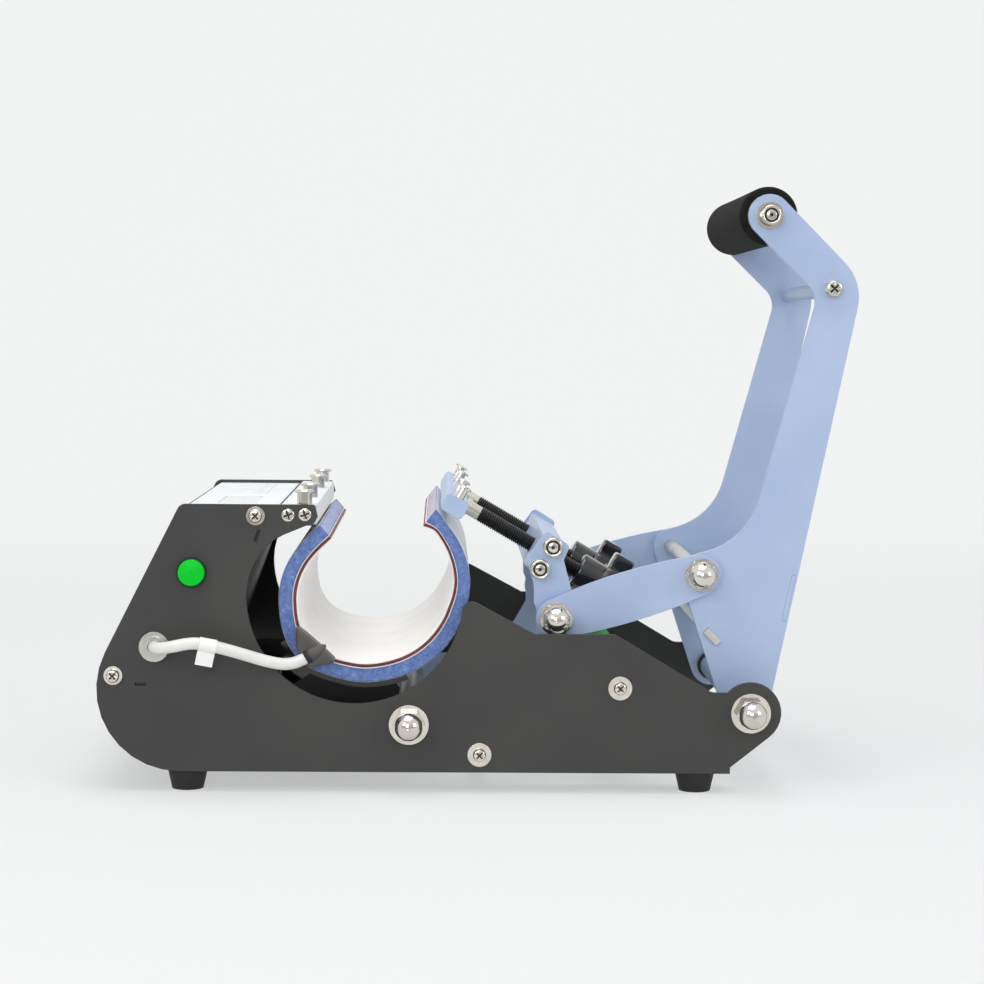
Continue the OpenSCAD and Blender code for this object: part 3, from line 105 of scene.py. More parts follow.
def finish(name, low, high, rough, cloud_mm=12, fine_mm=0.6, depth_mm=0.015, edge_mm=0.3, swing=0.06,
           metallic=0.0, coat=0.0, gloss=0.5, stretch=(1, 1, 1)):
    """A skin of two scales: clouds of cloud_mm shift its colour from low to high, and grain of fine_mm,
    stretched where marks run one way, varies its gloss and stands depth_mm out, over softened edges."""
    m = bpy.data.materials.new(name)
    m.use_nodes = True
    tree = m.node_tree
    shader = tree.nodes["Principled BSDF"]
    where = add(tree, "ShaderNodeTexCoord", {}, "Object")
    along = add(tree, "ShaderNodeMapping", {"Vector": where, "Scale": stretch})
    cloud = add(tree, "ShaderNodeTexNoise", {"Vector": where, "Scale": 1 / (cloud_mm * MM), "Detail": 3})
    fine = add(tree, "ShaderNodeTexNoise", {"Vector": along, "Scale": 1 / (fine_mm * MM), "Detail": 3})
    colour = add(tree, "ShaderNodeValToRGB", {"Fac": cloud, "stops": [(0.35, low), (0.65, high)]})
    gloss_map = add(tree, "ShaderNodeMapRange", {"Value": fine, "To Min": rough - swing,
                                                 "To Max": rough + swing})
    soft = add(tree, "ShaderNodeBevel", {"samples": 4, "Radius": edge_mm * MM})
    bump = add(tree, "ShaderNodeBump", {"Height": fine, "Distance": depth_mm * MM, "Strength": 0.6,
                                        "Normal": soft})
    for key, value in (("Base Color", colour), ("Roughness", gloss_map), ("Normal", bump)):
        tree.links.new(value, shader.inputs[key])
    shader.inputs["Metallic"].default_value = metallic
    shader.inputs["Coat Weight"].default_value = coat
    shader.inputs["Coat Roughness"].default_value = 0.08
    shader.inputs["Specular IOR Level"].default_value = gloss
    return m


def bare_skin(name):
    """A new material, its tree, shader and object coordinates in metres."""
    m = bpy.data.materials.new(name)
    m.use_nodes = True
    return m, m.node_tree, m.node_tree.nodes["Principled BSDF"], add(
        m.node_tree, "ShaderNodeTexCoord", {}, "Object")


def cut_sponge(name, deep, dark, mid, light, pale):
    """Cut closed-cell sponge: an even tone with faint flecks 2 to 3 mm across, torn pores, and a few pits
    whose shade is painted in dark.
    """
    m, tree, shader, where = bare_skin(name)
    fleck = add(tree, "ShaderNodeTexVoronoi", {"Vector": where, "Scale": 1 / (1.7 * MM)}, "Color")
    tone = add(tree, "ShaderNodeSeparateColor", {"Color": fleck})
    cloud = add(tree, "ShaderNodeTexNoise", {"Vector": where, "Scale": 1 / (4 * MM), "Detail": 3})
    share = add(tree, "ShaderNodeMath", {"operation": "MULTIPLY", 0: cloud, 1: 0.75})
    mixed = add(tree, "ShaderNodeMath", {"operation": "MULTIPLY_ADD", 0: tone, 1: 0.4, 2: share})
    colour = add(tree, "ShaderNodeValToRGB", {"Fac": mixed, "stops": [
        (0.2, deep), (0.92, pale), (0.4, dark), (0.58, mid), (0.75, light)]})
    # sparse pits darkened with painted shade: one in each cell of 4 mm, and a sixth of it wide
    pits = add(tree, "ShaderNodeTexVoronoi", {"Vector": where, "Scale": 1 / (4 * MM)}, "Distance")
    pit_shade = add(tree, "ShaderNodeMapRange", {"Value": pits, "From Min": 0.09, "From Max": 0.16,
                                              "To Min": 0.7, "To Max": 0.0})
    # painted shade: the pits take a darker blue
    colour = add(tree, "ShaderNodeMixRGB", {"Fac": pit_shade, "Color1": colour, "Color2": paint("#3a4470")})
    pores = add(tree, "ShaderNodeTexNoise", {"Vector": where, "Scale": 1 / (0.8 * MM), "Detail": 4})
    bump = add(tree, "ShaderNodeBump", {"Height": pores, "Distance": 0.15 * MM, "Strength": 0.6})
    tree.links.new(colour, shader.inputs["Base Color"])
    tree.links.new(bump, shader.inputs["Normal"])
    shader.inputs["Roughness"].default_value = 0.92
    return m


def silicone_sheet(name, low, high, rough, rib_mm, depth_mm):
    """Silicone sheet over a woven element: a satin skin with a faint weave of rib_mm across and along."""
    m, tree, shader, where = bare_skin(name)
    cloud = add(tree, "ShaderNodeTexNoise", {"Vector": where, "Scale": 1 / (25 * MM), "Detail": 2})
    colour = add(tree, "ShaderNodeValToRGB", {"Fac": cloud, "stops": [(0.35, low), (0.65, high)]})
    laid = add(tree, "ShaderNodeUVMap", {"uv_map": "run"})
    # Wave draws 20 / (2 pi) bands a unit at scale 1
    waves = [add(tree, "ShaderNodeTexWave", {
        "Vector": laid, "bands_direction": way, "Scale": 2 * math.pi / 20 / (rib_mm * MM),
        "Distortion": 0.4}, "Fac") for way in ("X", "Y")]
    weave = add(tree, "ShaderNodeMath", {"operation": "MULTIPLY", 0: waves[0], 1: waves[1]})
    bump = add(tree, "ShaderNodeBump", {"Height": weave, "Distance": depth_mm * MM, "Strength": 0.5})
    tree.links.new(colour, shader.inputs["Base Color"])
    tree.links.new(bump, shader.inputs["Normal"])
    shader.inputs["Roughness"].default_value = rough
    return m


def open_foam():
    """Foam tube of a grip: matt dark brown-black, with fine cells that catch the light."""
    m, tree, shader, where = bare_skin("black_grip_foam")
    cells = add(tree, "ShaderNodeTexVoronoi", {"Vector": where, "Scale": 1 / (0.9 * MM)}, "Distance")
    cloud = add(tree, "ShaderNodeTexNoise", {"Vector": where, "Scale": 1 / (6 * MM), "Detail": 3})
    colour = add(tree, "ShaderNodeValToRGB", {"Fac": cloud, "stops": [(0.3, "#161514"), (0.7, "#201f1d")]})
    bump = add(tree, "ShaderNodeBump", {"Height": cells, "Distance": 0.12 * MM, "Strength": 0.8})
    tree.links.new(colour, shader.inputs["Base Color"])
    tree.links.new(bump, shader.inputs["Normal"])
    shader.inputs["Roughness"].default_value = 0.88
    shader.inputs["Specular IOR Level"].default_value = 0.15
    return m


def powder_coat(name, low, high, rough, gloss=0.5):
    """Baked powder coat on bent sheet: a satin skin with fine orange peel."""
    return finish(name, low, high, rough, 70, 0.9, 0.02, 0.5, 0.06, gloss=gloss)


def plated(name, low, high, rough, stretch=(1, 1, 1)):
    """Plated or turned steel: bright, with faint clouding and fine marks that vary its gloss."""
    return finish(name, low, high, rough, 9, 0.5, 0.002, 0.25, 0.03, metallic=1.0, stretch=stretch)


def moulded(name, low, high, rough, fine_mm=0.6, depth_mm=0.015, coat=0.0, edge_mm=0.3, cloud_mm=12):
    """Moulded plastic or rubber: even colour with slight flow clouds and the tool's fine texture."""
    return finish(name, low, high, rough, cloud_mm, fine_mm, depth_mm, edge_mm, 0.06, coat=coat)


def lit_cap():
    """Moulded green lens of a lit button: a satin skin over an even glow."""
    m = moulded("green_lit_lens", "#00981e", "#00a226", 0.4)
    shader = m.node_tree.nodes["Principled BSDF"]
    shader.inputs["Emission Color"].default_value = paint("#00d42c")
    shader.inputs["Emission Strength"].default_value = 0.35
    shader.inputs["Specular IOR Level"].default_value = 0.15
    return m


GREY = powder_coat("dark_grey_powder_coat", "#363635", "#3c3c3a", 0.5, gloss=0.4)
PALE = powder_coat("white_powder_coat", "#e4e7ea", "#edf0f2", 0.45, gloss=0.4)
BLUE = powder_coat("light_blue_powder_coat", "#a2b4d4", "#adbedb", 0.36, gloss=0.6)
ZINC = plated("bright_zinc_steel", "#c6c5c1", "#d8d7d3", 0.36, stretch=(1, 0.08, 1))
NICKEL = plated("bright_nickel_plate", "#cfcac0", "#dfdad0", 0.1)
BRASS = plated("nickelled_brass", "#bfbdb6", "#d2cfc8", 0.18)
# black oxide steel; the same dark finish also paints the shade in the screws' recesses
BLACK_OXIDE_AND_SHADE = moulded("black_oxide_steel_and_shade", "#141415", "#1f1f20", 0.38, edge_mm=0.15)
ENAMEL = moulded("black_gloss_enamel", "#060607", "#0a0a0b", 0.1, 4, 0.006, coat=0.3)
# black rubber; the same dark finish also paints the shadow in the panel's gap
RUBBER_AND_SHADE = moulded("black_foot_rubber_and_shade", "#131313", "#1b1b1b", 0.62, 0.5, 0.03, edge_mm=0.5)
SLEEVE = moulded("green_vinyl_sleeve", "#0cb53a", "#16cc46", 0.33, coat=0.2)
GLASS = moulded("pale_display_lens", "#dbe0e4", "#e2e6ea", 0.1, 5, 0.004, coat=0.7)
KEYS = moulded("embossed_keypad_film", "#e0e4e8", "#e8ecef", 0.42, 0.35, 0.012)
BOARD = moulded("green_solder_mask", "#15502f", "#1f6a3e", 0.35, coat=0.3, cloud_mm=3)
FINS = plated("anodised_aluminium", "#84888e", "#9da1a6", 0.38)
SOCKET = moulded("black_abs", "#161617", "#1f1f20", 0.4)
CAP = lit_cap()
LEAD = moulded("white_silicone_lead", "#dcdcd6", "#e5e5df", 0.42, 1.2, 0.02)
VINYL = moulded("white_vinyl_tag", "#eeeeea", "#f6f6f3", 0.36, 0.8, 0.01)
JUNCTION = moulded("dark_moulded_rubber", "#45423f", "#524f4b", 0.5, 0.7, 0.04, edge_mm=1.0)
KNOB = moulded("black_phenolic", "#0a0a0b", "#121213", 0.13, 1.5, 0.006, coat=0.8)
SPONGE = cut_sponge("blue_cut_sponge", "#50649a", "#586ea4", "#5f77ad", "#6981b6", "#7d93c2")
# paler copies of the sponge for its two up-facing tip caps: painted light
SPONGE_LIT_TIP = cut_sponge("lavender_lit_sponge_tip", "#8f98bd", "#9aa4c8", "#a5aed2", "#b0b9da", "#bcc4e2")
SPONGE_LIT_END = cut_sponge("pale_lit_sponge_tip", "#b3a7b3", "#bcb2bd", "#c4bbc6", "#ccc4ce", "#d6d0d8")
WHITE_FILM = moulded("white_backing_film", "#eeeff1", "#f4f5f7", 0.5, 1.0, 0.01)
MAT = silicone_sheet("dark_red_silicone_mat", "#66282c", "#763336", 0.5, 1.6, 0.05)
LINER = silicone_sheet("white_silicone_liner", "#f1efec", "#f6f4f1", 0.45, 2.0, 0.006)
FOAM = open_foam()

SLOT_FINISH = {
    "grey_powder_coat": GREY, "blue_powder_coat": BLUE, "zinc_steel": ZINC, "nickel": NICKEL,
    "black_oxide": BLACK_OXIDE_AND_SHADE, "black_enamel": ENAMEL, "foot_rubber": RUBBER_AND_SHADE, "green_sleeve": SLEEVE,
    "panel_white": PALE, "window": GLASS, "keypad_sheet": KEYS, "circuit_board": BOARD,
    "module_metal": FINS, "socket_plastic": SOCKET, "green_cap": CAP, "brass_nickel": BRASS,
    "lead_silicone": LEAD, "tag_vinyl": VINYL, "junction_rubber": JUNCTION, "sponge": SPONGE,
    "mat_silicone": MAT, "liner": LINER, "star_plastic": KNOB, "foam": FOAM,
}
for entry in frame["record"]["subparts"]:
    part = frame["nodes"][entry["node"]]
    part.data.materials.clear()
    part.data.materials.append(SLOT_FINISH[entry["material_slot"]])


# Surfaces

def grid_faces(rows, columns, close_rows, close_columns):
    """Quads of a grid of rows by columns, joined end to start where it closes."""
    r = np.arange(rows if close_rows else rows - 1)[:, None]
    c = np.arange(columns if close_columns else columns - 1)[None, :]
    r1, c1 = (r + 1) % rows, (c + 1) % columns
    return np.stack([r * columns + c, r * columns + c1, r1 * columns + c1, r1 * columns + c],
                    axis=-1).reshape(-1, 4)


def piece(name, points_mm, material, close_rows=False, close_columns=True, caps=True, run=None):
    """A mesh from a grid of points (rows, columns, 3), with flat caps on its first and last row, and with
    run, if given, as its UV map: metres round and along the layer."""
    rows, columns = points_mm.shape[:2]
    faces = grid_faces(rows, columns, close_rows, close_columns).tolist()
    if caps and not close_rows:
        faces.append(list(range(columns)))
        faces.append(list(range((rows - 1) * columns, rows * columns))[::-1])
    mesh = bpy.data.meshes.new(name)
    mesh.from_pydata((points_mm.reshape(-1, 3) * MM).tolist(), [], faces)
    work = bmesh.new()
    work.from_mesh(mesh)
    bmesh.ops.recalc_face_normals(work, faces=work.faces)
    work.to_mesh(mesh)
    work.free()
    if run is not None:
        layer = mesh.uv_layers.new(name="run")
        corner = np.empty(len(mesh.loops), int)
        mesh.loops.foreach_get("vertex_index", corner)
        layer.data.foreach_set("uv", run.reshape(-1, 2)[corner].ravel())
    mesh.polygons.foreach_set("use_smooth", [True] * len(mesh.polygons))
    mesh.materials.append(material)
    mesh.update()
    obj = bpy.data.objects.new(name, mesh)
    bpy.context.scene.collection.objects.link(obj)
    return obj


def crisp(obj, angle=40):
    """Keeps edges sharper than angle, in degrees, as edges in the shading."""
    mesh = obj.data
    work = bmesh.new()
    work.from_mesh(mesh)
    for e in work.edges:
        if len(e.link_faces) == 2:
            e.smooth = e.calc_face_angle(0) < angle * DEG
    work.to_mesh(mesh)
    work.free()
    return obj


def ripple(points, waves, seed):
    """Sum of a few seeded sine waves over points (..., 3), from -1 to 1: a smooth, repeatable unevenness."""
    rng = np.random.default_rng(seed)
    total = np.zeros(points.shape[:-1])
    for _ in range(waves):
        direction = rng.normal(size=3)
        direction /= np.linalg.norm(direction)
        total += np.sin(points @ direction * rng.uniform(0.05, 0.5) + rng.uniform(0, 2 * math.pi))
    return total / waves


def grid_of(*coordinates):
    """Points (rows, columns, 3) from x, y and z, each spread over the rows and columns it lacks."""
    return np.stack(np.broadcast_arrays(*coordinates), -1)


def circle(steps):
    """Angles of steps even places round a circle, from 0."""
    return np.linspace(0, 2 * math.pi, steps, endpoint=False)


def catmull(points, per_span):
    """Smooth curve through points: a Catmull-Rom spline, per_span samples a span."""
    p = np.vstack([points[:1], points, points[-1:]])
    t = np.linspace(0, 1, per_span, endpoint=False)[:, None]
    spans = [0.5 * (2 * b + (c - a) * t + (2 * a - 5 * b + 4 * c - d) * t ** 2
                    + (3 * b - a - 3 * c + d) * t ** 3)
             for a, b, c, d in zip(p[:-3], p[1:-2], p[2:-1], p[3:])]
    return np.vstack(spans + [points[-1:]])


# Heated wrap: layers that share one outline, whose middle is WRAP in X and Z. WRAP_FROM is its left tip and
# WRAP_TO its right tip, in degrees from X towards Z, and the rest are a radius, a length and thicknesses.

WRAP = np.array([-63.562, 123.52])
WRAP_R = 56.5
WRAP_L = 230
WRAP_FROM, WRAP_TO = 131, 412
SPONGE_T, MAT_T, LINER_T = 8.8, 1.8, 1.0


def wrap_radius(a):
    """Outer radius at angle a in degrees: a circle tucked in at its left tip, bulging at the left, a little
    flat below, fuller beside that, and flaring up the right side to its tip."""
    t = np.clip((190 - a) / 58, 0, 1)
    tuck = 0.12 * t ** 2 * (3 - 2 * t)
    bulge = 0.105 * np.exp(-((a - 222) / 26) ** 2)
    droop = 0.01 * np.exp(-((a - 300) / 30) ** 2)
    belly = 0.012 * np.exp(-((a - 262) / 12) ** 2)
    flare = 0.028 * np.clip((a - 345) / 20, 0, 1) + 0.04 * np.clip((a - 396) / 16, 0, 1) ** 2
    return WRAP_R * (1 - tuck + bulge - droop + belly + flare)


def wrap_thin(a):
    """Share of its thickness that a layer keeps at angle a: 0.27 less up the right side, and swelling
    inwards again over the last few degrees at the tip."""
    return 1 - 0.27 * np.clip((a - 330) / 75, 0, 1) + 0.5 * np.clip((a - 401) / 11, 0, 1) ** 1.6


def wrap_layer(name, depth, thick, material, corner, seed, tip_in=(0, 0), end_in=0):
    """A layer of the wrap: a rounded rectangle of its thickness and length, carried round the outline.

    Each ring runs out along the outer face, round the end, back along the inner face and round again.
    The layer stops tip_in degrees short of the two tips and end_in short of each end.
    """
    first, last = WRAP_FROM + tip_in[0], WRAP_TO - tip_in[1]
    close = np.array([0, 0.25, 0.6])
    angles = np.concatenate([first + close, np.linspace(first + 1.2, last - 1.2, 150), last - close[::-1]])
    half = WRAP_L / 2 - end_in
    along = np.linspace(-half + corner, half - corner, 60)
    turn = np.linspace(0, math.pi / 2, 5)[1:-1]
    round_y, round_d = corner * np.sin(turn), corner * (1 - np.cos(turn))
    across = np.linspace(corner, thick - corner, 6)
    y = np.concatenate([along, half - corner + round_y, np.full(len(across), half),
                        half - corner + round_y[::-1]])
    d = np.concatenate([np.zeros(len(along)), round_d, across, thick - round_d[::-1]])
    y, d = np.concatenate([y, -y]), np.concatenate([d, thick - d])
    # the first and last rings are drawn in a little, which rounds the edge at the tips
    draw = np.ones(len(angles))
    draw[[0, -1]], draw[[1, -2]] = 1 - 2 * corner * 0.45 / thick, 1 - 2 * corner * 0.15 / thick
    depths = depth + thick / 2 + (d[None, :] - thick / 2) * draw[:, None]
    a = angles[:, None] * DEG
    r = wrap_radius(angles)[:, None] - depths * wrap_thin(angles)[:, None]
    pts = grid_of(WRAP[0] + r * np.cos(a), y, WRAP[1] + r * np.sin(a))
    # the end faces are cut a little unevenly
    ends = np.abs(np.abs(y) - half) < 1e-6
    pts[:, ends, 1] += 0.35 * np.sign(y[ends]) * (ripple(pts[:, ends] * 2.5, 9, seed) - 1)
    run = grid_of(a * WRAP_R * MM, y * MM)
    return crisp(piece(name, pts, material, run=run), 50)


skin = wrap_layer("white_outer_film", -0.16, 0.2, WHITE_FILM, 0.08, 3, end_in=0.5)
sponge = wrap_layer("sponge_jacket", 0.05, SPONGE_T - 0.7, SPONGE, 0.9, 4)
# its last two faces are the caps at its tips, which face up and are painted paler than its ends: painted
# light
for slot, tip in ((1, SPONGE_LIT_TIP), (2, SPONGE_LIT_END)):
    sponge.data.materials.append(tip)
    sponge.data.polygons[slot - 3].material_index = slot
film = wrap_layer("white_backing_film", SPONGE_T - 0.65, 0.62, WHITE_FILM, 0.15, 5, end_in=0.1)
mat = wrap_layer("heating_mat", SPONGE_T, MAT_T - 0.05, MAT, 0.5, 6, tip_in=(0.2, 0.2), end_in=0.3)
liner = wrap_layer("silicone_liner", SPONGE_T + MAT_T, LINER_T, LINER, 0.35, 8, tip_in=(0.4, 0.4),
                   end_in=0.6)
# on the press the right side follows the yoke as it closes and the part on the cradle stays; here each layer
# takes the place of its wrap node, baked in metres
for layer, node in ((skin, "wrap_sponge"), (sponge, "wrap_sponge"), (film, "wrap_sponge"),
                    (mat, "wrap_heating_mat"), (liner, "wrap_liner")):
    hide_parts(node)
    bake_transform(layer)


# Heater lead, its tag and the moulded junction on the wrap

LEAD_ROUTE = np.array([
    [-194, -121.5, 88], [-194, -125, 88], [-193, -130, 88.2], [-190, -134.4, 88.6],
    [-185.6, -137.4, 89.4], [-180, -139, 90.6], [-174, -139, 91.8], [-168, -138.4, 92.2],
    [-161, -137.2, 91.2], [-153.5, -135.8, 89.2], [-146, -134.4, 87], [-138.5, -133, 84.6],
    [-131, -131.6, 82.2], [-124, -130.2, 80.2], [-117, -129, 79], [-110.5, -128, 79.6],
    [-104.5, -127.2, 82], [-99.5, -126.8, 85]], float)
LEAD_D = 7.2
LEAD_SIDES = 32
TAG_POINT = 8    # the place in the route where the tag hangs


def tube(name, path, radius, sides, material):
    """Round tube along a path: a ring square to the path at each point, turned as little as possible."""
    run = np.gradient(path, axis=0)
    run /= np.linalg.norm(run, axis=1)[:, None]
    side = np.cross(run, [0, 0, 1])
    side /= np.linalg.norm(side, axis=1)[:, None]
    rise = np.cross(side, run)
    a = circle(sides)
    r = np.broadcast_to(radius, (len(path),))[:, None, None]
    pts = path[:, None] + r * (np.cos(a)[None, :, None] * side[:, None]
                               + np.sin(a)[None, :, None] * rise[:, None])
    return piece(name, pts, material)


lead_path = catmull(LEAD_ROUTE, 8)
lead = crisp(tube("heater_lead_cord", lead_path, LEAD_D / 2 - 0.02, LEAD_SIDES, LEAD))


def folded_tag():
    """Vinyl tag: one strip led round the lead and back on itself, swept along the lead's line."""
    at, ahead = LEAD_ROUTE[TAG_POINT], LEAD_ROUTE[TAG_POINT + 1] - LEAD_ROUTE[TAG_POINT - 1]
    ahead = ahead / np.linalg.norm(ahead)
    side = np.array([-ahead[1], ahead[0], 0]) / np.hypot(ahead[0], ahead[1])
    down = np.cross(ahead, side)
    down = down if down[2] < 0 else -down
    # radius round the lead, drop below it, half the gap between the legs, vinyl's thickness, half its width
    ring, drop, half_gap, vinyl_t, half_w = LEAD_D / 2 + 0.25, 12.7, 0.12, 0.22, 5.2
    a = np.linspace(-60, 240, 31) * DEG
    loop = np.stack([ring * np.cos(a), -ring * np.sin(a)], -1)
    legs = np.linspace(drop, ring * 1.15, 16)
    bow = 0.1 * np.sin(np.linspace(0, math.pi, 16))
    left_leg = np.stack([-half_gap - bow, legs], -1)
    right_leg = np.stack([half_gap + bow, legs], -1)
    line = np.vstack([right_leg, loop, left_leg[::-1]])
    out = np.gradient(line, axis=0)
    out = np.stack([out[:, 1], -out[:, 0]], -1) / np.linalg.norm(out, axis=1)[:, None]
    ring2d = np.vstack([line + out * vinyl_t / 2, (line - out * vinyl_t / 2)[::-1]])
    w = np.linspace(-half_w, half_w, 9)
    pts = at + w[:, None, None] * ahead + ring2d[None, :, 0:1] * side + ring2d[None, :, 1:2] * down
    return crisp(piece("blank_lead_tag", pts, VINYL), 45)


tag = folded_tag()
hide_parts("heater_lead")
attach(lead, "frame")
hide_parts("lead_tag")
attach(tag, "frame")


# Dark strip of painted shadow in the gap by the top panel, and the moulded boot where the lead enters the
# wrap, as an outline in X and Z

BOOT = np.array([[-109.2, 100.6], [-104, 97.2], [-97, 91.2], [-88.6, 83.6], [-86.4, 80.4], [-88.4, 78.9],
                 [-93, 78], [-99.6, 76.9], [-102.6, 77.6], [-104.6, 80.2], [-108.6, 86.4], [-109.6, 94]])


def panel_gap_shadow():
    """Dark strip between the top panel and the hook bar, the painted shadow of the gap there: a low strip
    with a half round top, carried along Y.
    """
    middle, half_w, foot, shoulder, rise, half_l = -119.97, 0.64, 170.35, 172.7, 0.5, 116.4
    a = np.linspace(0, math.pi, 9)
    x = middle + half_w * np.concatenate([np.cos(a), [-1, 1]])
    z = np.concatenate([shoulder + rise * np.sin(a), [foot, foot]])
    y = np.linspace(-half_l, half_l, 40)[:, None]
    return crisp(piece("panel_gap_shadow_strip", grid_of(x, y, z), RUBBER_AND_SHADE), 50)


gap_shadow = panel_gap_shadow()
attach(gap_shadow, "frame")


def lead_boot():
    """Boot: a closed smooth outline in X and Z, carried from the wrap's end to a front face whose rim is a
    quarter round; a shrunken outline closes it."""
    ring = catmull(np.vstack([BOOT, BOOT[:1]]), 6)[:-1]
    middle = ring.mean(0)
    wrap_end, waist, front, rim_r = -115.3, -122, -126, 2.4
    t = np.linspace(0, math.pi / 2, 7)
    y = np.concatenate([[wrap_end, waist], front - rim_r * np.sin(t)])
    shrink = np.concatenate([[0, 0], rim_r * (1 - np.cos(t))])
    away = ring - middle
    away /= np.linalg.norm(away, axis=1)[:, None]
    flat = ring - shrink[:, None, None] * away
    return crisp(piece("lead_boot", grid_of(flat[..., 0], y[:, None], flat[..., 1]), JUNCTION), 50)


def turned(name, centre, y, r, material):
    """Ring or sleeve along Y: a closed profile of depths y and radii r turned about the centre."""
    a = circle(64)
    y, r = np.array(y, float)[:, None], np.array(r, float)[:, None]
    pts = grid_of(centre[0] + r * np.cos(a), y, centre[1] + r * np.sin(a))
    return crisp(piece(name, pts, material, close_rows=True, caps=False), 50)


# a rim round the lead as it nears the boot, and a relief over its last points that tapers on into the boot
RIM_SPAN = slice(129, 134)
RELIEF_FROM = 132
RIM_STAND = np.array([0.1, 0.7, 0.9, 0.7, 0.1])
RELIEF_RADII = np.array([3.7, 4.1, 4.3, 4.3, 4.2, 3.9, 3.4, 2.7, 1.7, 0.5])
RELIEF_STEPS = np.array([[2], [4], [6], [8], [9.5]])
rim = crisp(tube("lead_entry_rim", lead_path[RIM_SPAN], LEAD_D / 2 + RIM_STAND, LEAD_SIDES, RUBBER_AND_SHADE), 50)
ahead = lead_path[-1] - lead_path[-5]
ahead /= np.linalg.norm(ahead)
relief_path = np.vstack([lead_path[RELIEF_FROM:], lead_path[-1] + RELIEF_STEPS * ahead])
relief = crisp(tube("lead_strain_relief", relief_path, RELIEF_RADII, LEAD_SIDES, JUNCTION), 50)
for item in (rim, relief):
    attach(item, "frame")
boot = lead_boot()
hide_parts("heater_junction")
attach(boot, "frame")


# Lit button: its cap travels, and its rim stays

BUTTON = (-172.27, 132.605)
cap = turned("lit_button_cap", BUTTON, [-114, -123.9, -124.6, -125, -125, -114],
             [7.9, 7.9, 7.6, 6.9, 0.3, 0.3], CAP)
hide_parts("switch_cap")
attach(cap, "switch_cap")
ring = turned("button_rim", BUTTON, [-120, -122.2, -122.6, -122.6, -122.2, -120],
              [8.85, 8.85, 8.6, 8.3, 8.12, 8.12], SOCKET)
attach(ring, "frame")


# Faces of the screws on both outer sides: side is -1 near and 1 far

def screw_face(name, centre, y, side, r, arms_at):
    """Face of a cross-recessed screw: a low dome whose height falls to its base inside two crossed arms
    of 0.11 r half width, and along four shallow ribs between them."""
    rho = np.concatenate([np.linspace(0.04, 0.9, 26), [0.95, 0.98, 1.0]])[:, None] * r
    a = circle(120)[None, :]

    def beside(turn):
        """Distance from the nearer of two crossed lines turned by turn degrees."""
        return rho * np.abs(np.sin((a - turn * DEG + math.pi / 4) % (math.pi / 2) - math.pi / 4))

    dome = 0.15 + 0.75 * np.sqrt(np.clip(1 - (rho / r) ** 4, 0, 1))
    inside = np.clip((0.78 - rho / r) / 0.1, 0, 1)
    arm = np.clip(1 - (beside(arms_at) / r - 0.11) / 0.07, 0, 1) * inside
    rib = np.clip(1 - (beside(arms_at + 45) / r - 0.03) / 0.05, 0, 1) * inside * 0.45
    height = dome * (1 - np.maximum(arm, rib)) + 0.03
    pts = grid_of(centre[0] + rho * np.cos(a), side * (y + height), centre[1] + rho * np.sin(a))
    return crisp(piece(name, pts if side < 0 else pts[:, ::-1], NICKEL, caps=False), 60)


def recess_shade_disc(name, centre, y, side, r, material):
    """Thin dark disc that shows in a screw's recess: painted shade in it."""
    depths = [side * (y + h) for h in (0.0, 0.09, 0.09, 0.0)]
    return turned(name, centre, depths, [r, r, 0.1, 0.1], material)


def socket_face(name, centre, y, side, r):
    """Face of a socket screw: a raised lip of radius r, a well whose shade is painted as a dark disc, and a
    bright boss with a pit in it.
    """
    def out(heights):
        return [side * (y + h) for h in heights]

    lip = turned(name + "_lip", centre, out((0, 0.5, 0.95, 1, 0.8, 0.1, 0.1)),
                 r * np.array([1, 0.99, 0.925, 0.855, 0.755, 0.705, 0.99]), NICKEL)
    boss = turned(name + "_boss", centre, out((0.05, 0.5, 0.75, 0.75, 0.3, 0.05)),
                  r * np.array([0.54, 0.52, 0.455, 0.185, 0.15, 0.15]), NICKEL)
    return [lip, boss, recess_shade_disc(name + "_well_shade", centre, y, side, 0.74 * r, BLACK_OXIDE_AND_SHADE)]


def cross_face(name, centre, y, side, r, arms_at):
    """Face of a cross-recessed screw over a dark disc that paints the shade in its recess."""
    return [screw_face(name + "_dome", centre, y, side, r, arms_at),
            recess_shade_disc(name + "_well_shade", centre, y, side, 0.75 * r, BLACK_OXIDE_AND_SHADE)]


# where the screws are in X and Z, and how far from the middle plane their heads' faces start
BAR_END_SCREWS = ((-114.87, 167.2), (-104.78, 167.5))
PLATE_SCREWS = ((0.72, 23.4), (85.1, 64.2), (-134.18, 166.7), (-219.1, 70.2))
BLOCK_SCREWS = ((37.05, 133.7), (44.8, 147.13))
TIE_ROD_END = (213.72, 305.49)
GRIP_BAR_END = (174.24, 349.32)
BAR_END_Y, PLATE_Y, BLOCK_Y, TIE_ROD_Y, GRIP_Y = 120, 123.7, 100.2, 98.5, 102.5

for side, where in ((-1, "near"), (1, "far")):
    faces = [("frame", cross_face(f"bar_end_screw_{n}_{where}", at, BAR_END_Y, side, 3.9, 20))
             for n, at in enumerate(BAR_END_SCREWS, 1)]
    faces += [("frame", cross_face(f"plate_screw_{n}_{where}", at, PLATE_Y, side, 3.5, 45))
              for n, at in enumerate(PLATE_SCREWS, 1)]
    faces += [("yoke", socket_face(f"block_screw_{n}_{where}", at, BLOCK_Y, side, 5.95))
              for n, at in enumerate(BLOCK_SCREWS, 1)]
    faces += [("lever", cross_face(f"tie_rod_screw_{where}", TIE_ROD_END, TIE_ROD_Y, side, 4.6, 45)),
              ("lever", socket_face(f"grip_screw_{where}", GRIP_BAR_END, GRIP_Y, side, 6.0))]
    for body, items in faces:
        for item in items:
            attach(item, body)

